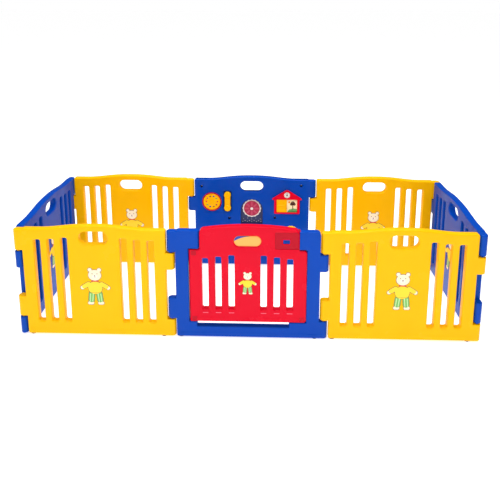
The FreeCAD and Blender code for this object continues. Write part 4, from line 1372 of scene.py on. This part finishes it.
@dataclass
class PlayHouse:
    """House frame, picture card, sliding door and clock."""

    def build(self) -> None:
        """Makes all five pieces of the house."""
        toys = Toys()
        self._frame(toys)
        self._picture(toys)
        self._door(toys)
        self._clock(toys)
        self._hand(toys)

    @staticmethod
    def _frame(toys: Toys) -> None:
        """The house front with its window.

        Args:
            toys: Places on the face.
        """
        u, _, low, high = toys.about("house_frame")
        piece = Piece("house_front", "activity", toys.face() @ Matrix.Translation((u, 0, 0)))
        outline = rounded([
            (-83.5, 367, 4.0), (83.5, 367, 4.0), (83.5, 464, 1.0), (97, 464, 3.0),
            (97, 471, 3.0), (0, 533, 6.0), (-97, 471, 3.0), (-97, 464, 3.0), (-83.5, 464, 1.0)])
        window = block(-67, 378, 67, 465, 3.0)
        piece.add(Moulding(outline, high - 2.2, high, RED, rim=0.9, steps=3, holes=[window]))
        back = rounded([
            (-83, 367.5, 4.0), (83, 367.5, 4.0), (83, 464, 1.0), (96, 464.5, 3.0),
            (0, 532, 6.0), (-96, 464.5, 3.0), (-83, 464, 1.0)])
        pane = block(-72.6, 372.4, 72.6, 470.6, 0.5)
        piece.add(Moulding(back, low, high - 1.5, RED, holes=[pane]))
        for way in (-1, 1):
            tile = stadium(way * 50, 502, 104, 4, way * -32.6)
            piece.add(Moulding(tile, high - 0.6, high + 1.2, RED, rim=0.8, steps=2))
        piece.done(["house_frame"], "red")

    @staticmethod
    def _picture(toys: Toys) -> None:
        """A card with a plain tree and a hill.

        Args:
            toys: Places on the face.
        """
        piece, low, high = toys.start("house_card", "activity", "house_picture")
        wide, _, tall = halves("house_picture")
        piece.add(Moulding(block(-wide, -tall, wide, tall), low, high - 0.5, CARD))
        hill = [(wide * 0.02, -tall), (wide, -tall), (wide, -tall * 0.5),
                (wide * 0.6, -tall * 0.38), (wide * 0.2, -tall * 0.55)]
        piece.add(Moulding(hill, high - 0.8, high - 0.3, CARD_GREEN))
        piece.add(Moulding(block(36, -30, 42, 8, 1.0), high - 0.8, high - 0.2, CARD_BROWN))
        for cu, cv, r in ((39, 18, 13), (29, 10, 9), (49, 10, 9)):
            piece.add(Moulding(ellipse(cu, cv, r, steps=24), high - 0.8, high - 0.1,
                               CARD_BROWN))
        piece.add(Moulding(ellipse(16, 24, 7, steps=24), high - 0.8, high - 0.1, ORANGE))
        piece.done(["house_picture"], "picture_print")

    @staticmethod
    def _door(toys: Toys) -> None:
        """The sliding door with two panels and a pull.

        Args:
            toys: Places on the face.
        """
        piece, low, high = toys.start("house_sliding_door", "house_door", "house_door")
        wide, _, tall = halves("house_door")
        leaf = low + 4.0
        hollows = [Recess(block(-wide * 0.72, tall * foot, wide * 0.55, tall * head, 3.0), 1.2,
                          YELLOW, 0.6) for foot, head in ((-0.72, -0.06), (0.06, 0.72))]
        piece.add(Moulding(block(-wide, -tall, wide, tall), low, leaf, YELLOW, rim=0.4, steps=2,
                           recesses=hollows))
        piece.add(Moulding(stadium(wide * 0.78, -4, 28, 6, 90), leaf - 1, high, YELLOW,
                           rim=1.6))
        piece.done(["house_door"], "yellow")

    @staticmethod
    def _clock(toys: Toys) -> None:
        """The clock face with twelve marks.

        Args:
            toys: Places on the face.
        """
        piece, low, high = toys.start("clock_dial", "activity", "clock_face")
        radius = halves("clock_face").x
        bore = ellipse(0, 0, 2.3, steps=16)
        piece.add(Moulding(ellipse(0, 0, radius, steps=48), low, high - 0.3, WHITE, rim=1.0,
                           holes=[bore]))
        for i in range(12):
            t = math.tau * i / 12
            mark = stadium(radius * 0.78 * math.cos(t), radius * 0.78 * math.sin(t), 4.0,
                           1.5 if i % 3 else 2.4, math.degrees(t))
            piece.add(Moulding(mark, high - 0.8, high, BLACK))
        piece.done(["clock_face"], "white")

    @staticmethod
    def _hand(toys: Toys) -> None:
        """The pointer, turning about its hub.

        Args:
            toys: Places on the face.
        """
        piece, *_ = toys.start("clock_pointer", "clock_hand", "clock_face")
        *_, low, high = toys.about("clock_hand")
        hub = Moulding(ellipse(0, 0, 4.4, steps=24), low, high, BLACK, rim=0.3, steps=2,
                       holes=[ellipse(0, 0, 2.25, steps=16)])
        piece.add(hub)
        arrow = rounded([(-1.6, 3, 0), (1.6, 3, 0), (1.2, 11, 0), (3.2, 10, 0), (0, 15, 0),
                         (-3.2, 10, 0), (-1.2, 11, 0)])
        piece.add(Moulding(arrow, low + 0.1, high - 0.1, BLACK))
        piece.done(["clock_hand"], "black")


@dataclass
class Rollers:
    """Three ribbed drums on one axle."""

    finishes: tuple[Finish, ...] = (YELLOW, RED, GREEN)

    def build(self) -> None:
        """Makes the drums, each with grooves and a row of raised spots."""
        for name, finish in zip(("roller_left", "roller_middle", "roller_right"),
                                self.finishes):
            low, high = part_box(name)
            middle = (low + high) / 2
            half, radius = (high.x - low.x) / 2 / MILLI, (high.z - low.z) / 2 / MILLI
            place = (Matrix.Translation(middle) @ Matrix.Rotation(math.pi / 2, 4, "Y")
                     @ Matrix.Scale(MILLI, 4))
            piece = Piece(f"{name}_drum", name, place)
            bore, r = 4.1, radius
            profile = [(bore, -half), (r - 2, -half), (r - 0.6, -half + 0.6), (r, -half + 2),
                       (r, -half * 0.62), (r - 1.2, -half * 0.58), (r, -half * 0.54),
                       (r, half * 0.54), (r - 1.2, half * 0.58), (r, half * 0.62),
                       (r, half - 2), (r - 0.6, half - 0.6), (r - 2, half), (bore, half),
                       (bore, -half)]
            piece.join(turned(profile, 56), finish)
            for i in range(8):
                t = math.tau * i / 8
                spot = dome(4.0, 4.0, 1.0)
                turn = Matrix.Rotation(t, 4, "Z") @ Matrix.Rotation(math.pi / 2, 4, "Y")
                piece.join(spot, WHITE, turn @ Matrix.Translation((0, 0, r - 0.4)))
            piece.done([name], finish.slot)


@dataclass
class FlowerKnob:
    """A pink knob with six lobes."""

    lobes: int = 6

    def build(self) -> bpy.types.Object:
        """Makes the knob.

        Returns:
            The finished object.
        """
        piece, low, high = Toys().start("flower_turn_knob", "flower", "flower_knob")
        radius = halves("flower_knob").x
        outline = fluted(radius, 0.2 * radius, self.lobes, self.lobes * 12)
        bore = ellipse(0, 0, 4.2, steps=24)
        piece.add(Moulding(outline, low, high - 3, PINK, rim=3.0, holes=[bore]))
        piece.add(Moulding(ellipse(0, 0, radius * 0.46, steps=32), high - 5, high, WHITE,
                           rim=1.6, holes=[bore]))
        return piece.done(["flower_knob"], "pink")


# ---- studio ---------------------------------------------------------------------------------


@dataclass
class Studio:
    """Pale floor, soft light and the camera."""

    stand: tuple[float, float, float] = (0.0924, -3.0224, 1.7903)
    pitch: float = 11.0
    yaw: float = 1.75
    lens: float = 39.3
    shift: float = -0.2982
    floor_half: float = 60.0
    sky: float = 0.52
    mirrored: float = 0.08
    glow: float = 0.56

    def build(self) -> None:
        """Makes the floor, the lights and the camera."""
        self._floor()
        self._lights()
        self._camera()

    def _floor(self) -> None:
        """A wide pale floor at the pen's lowest point."""
        bm = bmesh.new()
        bmesh.ops.create_grid(bm, x_segments=2, y_segments=2, size=self.floor_half)
        mesh = bpy.data.meshes.new("studio_floor")
        bm.to_mesh(mesh)
        bm.free()
        pale = Finish("studio_pale", (0.93, 0.93, 0.93), "white", gloss=0.75, grain=0.0,
                      shade=1.0)
        sweep = pale.material()
        shader = sweep.node_tree.nodes["Principled BSDF"]
        shader.inputs["Emission Color"].default_value = (1.0, 1.0, 1.0, 1.0)
        shader.inputs["Emission Strength"].default_value = self.glow
        mesh.materials.append(sweep)
        floor = bpy.data.objects.new("studio_floor", mesh)
        bpy.context.scene.collection.objects.link(floor)

    def _lights(self) -> None:
        """A bright even surround and two large soft lamps."""
        world = bpy.data.worlds.new("studio_sky")
        world.use_nodes = True
        tree = world.node_tree
        surround = tree.nodes["Background"]
        surround.inputs["Color"].default_value = (1.0, 1.0, 1.0, 1.0)
        surround.inputs["Strength"].default_value = self.sky
        mirrored = tree.nodes.new("ShaderNodeBackground")
        mirrored.inputs["Color"].default_value = (1.0, 1.0, 1.0, 1.0)
        mirrored.inputs["Strength"].default_value = self.mirrored
        seen = tree.nodes.new("ShaderNodeBackground")
        seen.inputs["Color"].default_value = (1.0, 1.0, 1.0, 1.0)
        seen.inputs["Strength"].default_value = 1.0
        path = tree.nodes.new("ShaderNodeLightPath")
        glossy = tree.nodes.new("ShaderNodeMixShader")
        direct = tree.nodes.new("ShaderNodeMixShader")
        link = tree.links.new
        link(path.outputs["Is Glossy Ray"], glossy.inputs[0])
        link(surround.outputs[0], glossy.inputs[1])
        link(mirrored.outputs[0], glossy.inputs[2])
        link(path.outputs["Is Camera Ray"], direct.inputs[0])
        link(glossy.outputs[0], direct.inputs[1])
        link(seen.outputs[0], direct.inputs[2])
        link(direct.outputs[0], tree.nodes["World Output"].inputs["Surface"])
        bpy.context.scene.world = world
        self._lamp("overhead_lamp", (0.0, -0.2, 3.0), (0.0, 0.0, 0.0), 3.4, 92.0)
        self._lamp("front_lamp", (-0.8, -4.4, 3.0), (0.0, 0.0, 0.3), 2.6, 34.0)

    @staticmethod
    def _lamp(name: str, stand: tuple[float, float, float], aim: tuple[float, float, float],
              size: float, power: float) -> None:
        """One square soft lamp.

        Args:
            name: Its name.
            stand: Where it hangs.
            aim: The point it faces.
            size: Its side.
            power: Its power in watts.
        """
        lamp = bpy.data.lights.new(name, "AREA")
        lamp.size = size
        lamp.energy = power
        made = bpy.data.objects.new(name, lamp)
        made.location = stand
        way = Vector(aim) - Vector(stand)
        made.rotation_euler = way.to_track_quat("-Z", "Y").to_euler()
        bpy.context.scene.collection.objects.link(made)

    def _camera(self) -> None:
        """The camera, looking down a little across the front of the pen."""
        data = bpy.data.cameras.new("camera")
        data.lens = self.lens
        data.sensor_width = 36.0
        data.shift_y = self.shift
        data.clip_end = 60.0
        made = bpy.data.objects.new("camera", data)
        made.location = self.stand
        made.rotation_euler = (math.radians(90 - self.pitch), 0.0, math.radians(self.yaw))
        bpy.context.scene.collection.objects.link(made)
        bpy.context.scene.camera = made


@dataclass
class CarriedParts:
    """CAD parts that stay as they are and get a finish."""

    finishes: dict[str, Finish]

    def dress(self) -> None:
        """Gives each part its material."""
        for name, finish in self.finishes.items():
            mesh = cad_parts[name].data
            mesh.materials.clear()
            mesh.materials.append(finish.material())
            LOG.info("%s: carried over as %s", name, finish.name)


PANELS: tuple[tuple[str, float, Finish], ...] = (
    ("front_left", 0.0, YELLOW), ("front_right", 0.0, YELLOW), ("right", 90.0, BLUE),
    ("back_right", 180.0, YELLOW), ("back_left", 180.0, YELLOW), ("left", 270.0, BLUE),
)


def main() -> None:
    """Builds the pen and the studio."""
    logging.basicConfig(level=logging.INFO, format="%(message)s")
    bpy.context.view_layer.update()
    bpy.context.scene.view_settings.view_transform = "Standard"
    for name, turn, finish in PANELS:
        panel = SlattedPanel(f"{name}_moulding", f"{name}_panel", name, turn, finish)
        panel.build()
        TeddyPrint(name, name, panel.spot(), 216.0, 174.0).build()
        Feet(name, name).build()
    gate = GateFrame("gate_frame_moulding", "gate_frame", "gate", 0.0, BLUE)
    gate.build()
    GateDoor(gate.spot()).build()
    TeddyPrint("gate", "door", gate.spot(), 129.0, 249.0).build()
    Badge().build()
    LatchKnob().build()
    LatchButton().build()
    ButtonSpring().build()
    ActivityPanel("activity_moulding", "activity_panel", "activity", 180.0, BLUE).build()
    Telephone().build()
    SpinnerWindow().build()
    PlayHouse().build()
    Rollers().build()
    FlowerKnob().build()
    Feet("gate", "gate").build()
    Feet("activity", "activity").build()
    CarriedParts(CARRIED).dress()
    Studio().build()


if __name__ == "__main__":
    main()
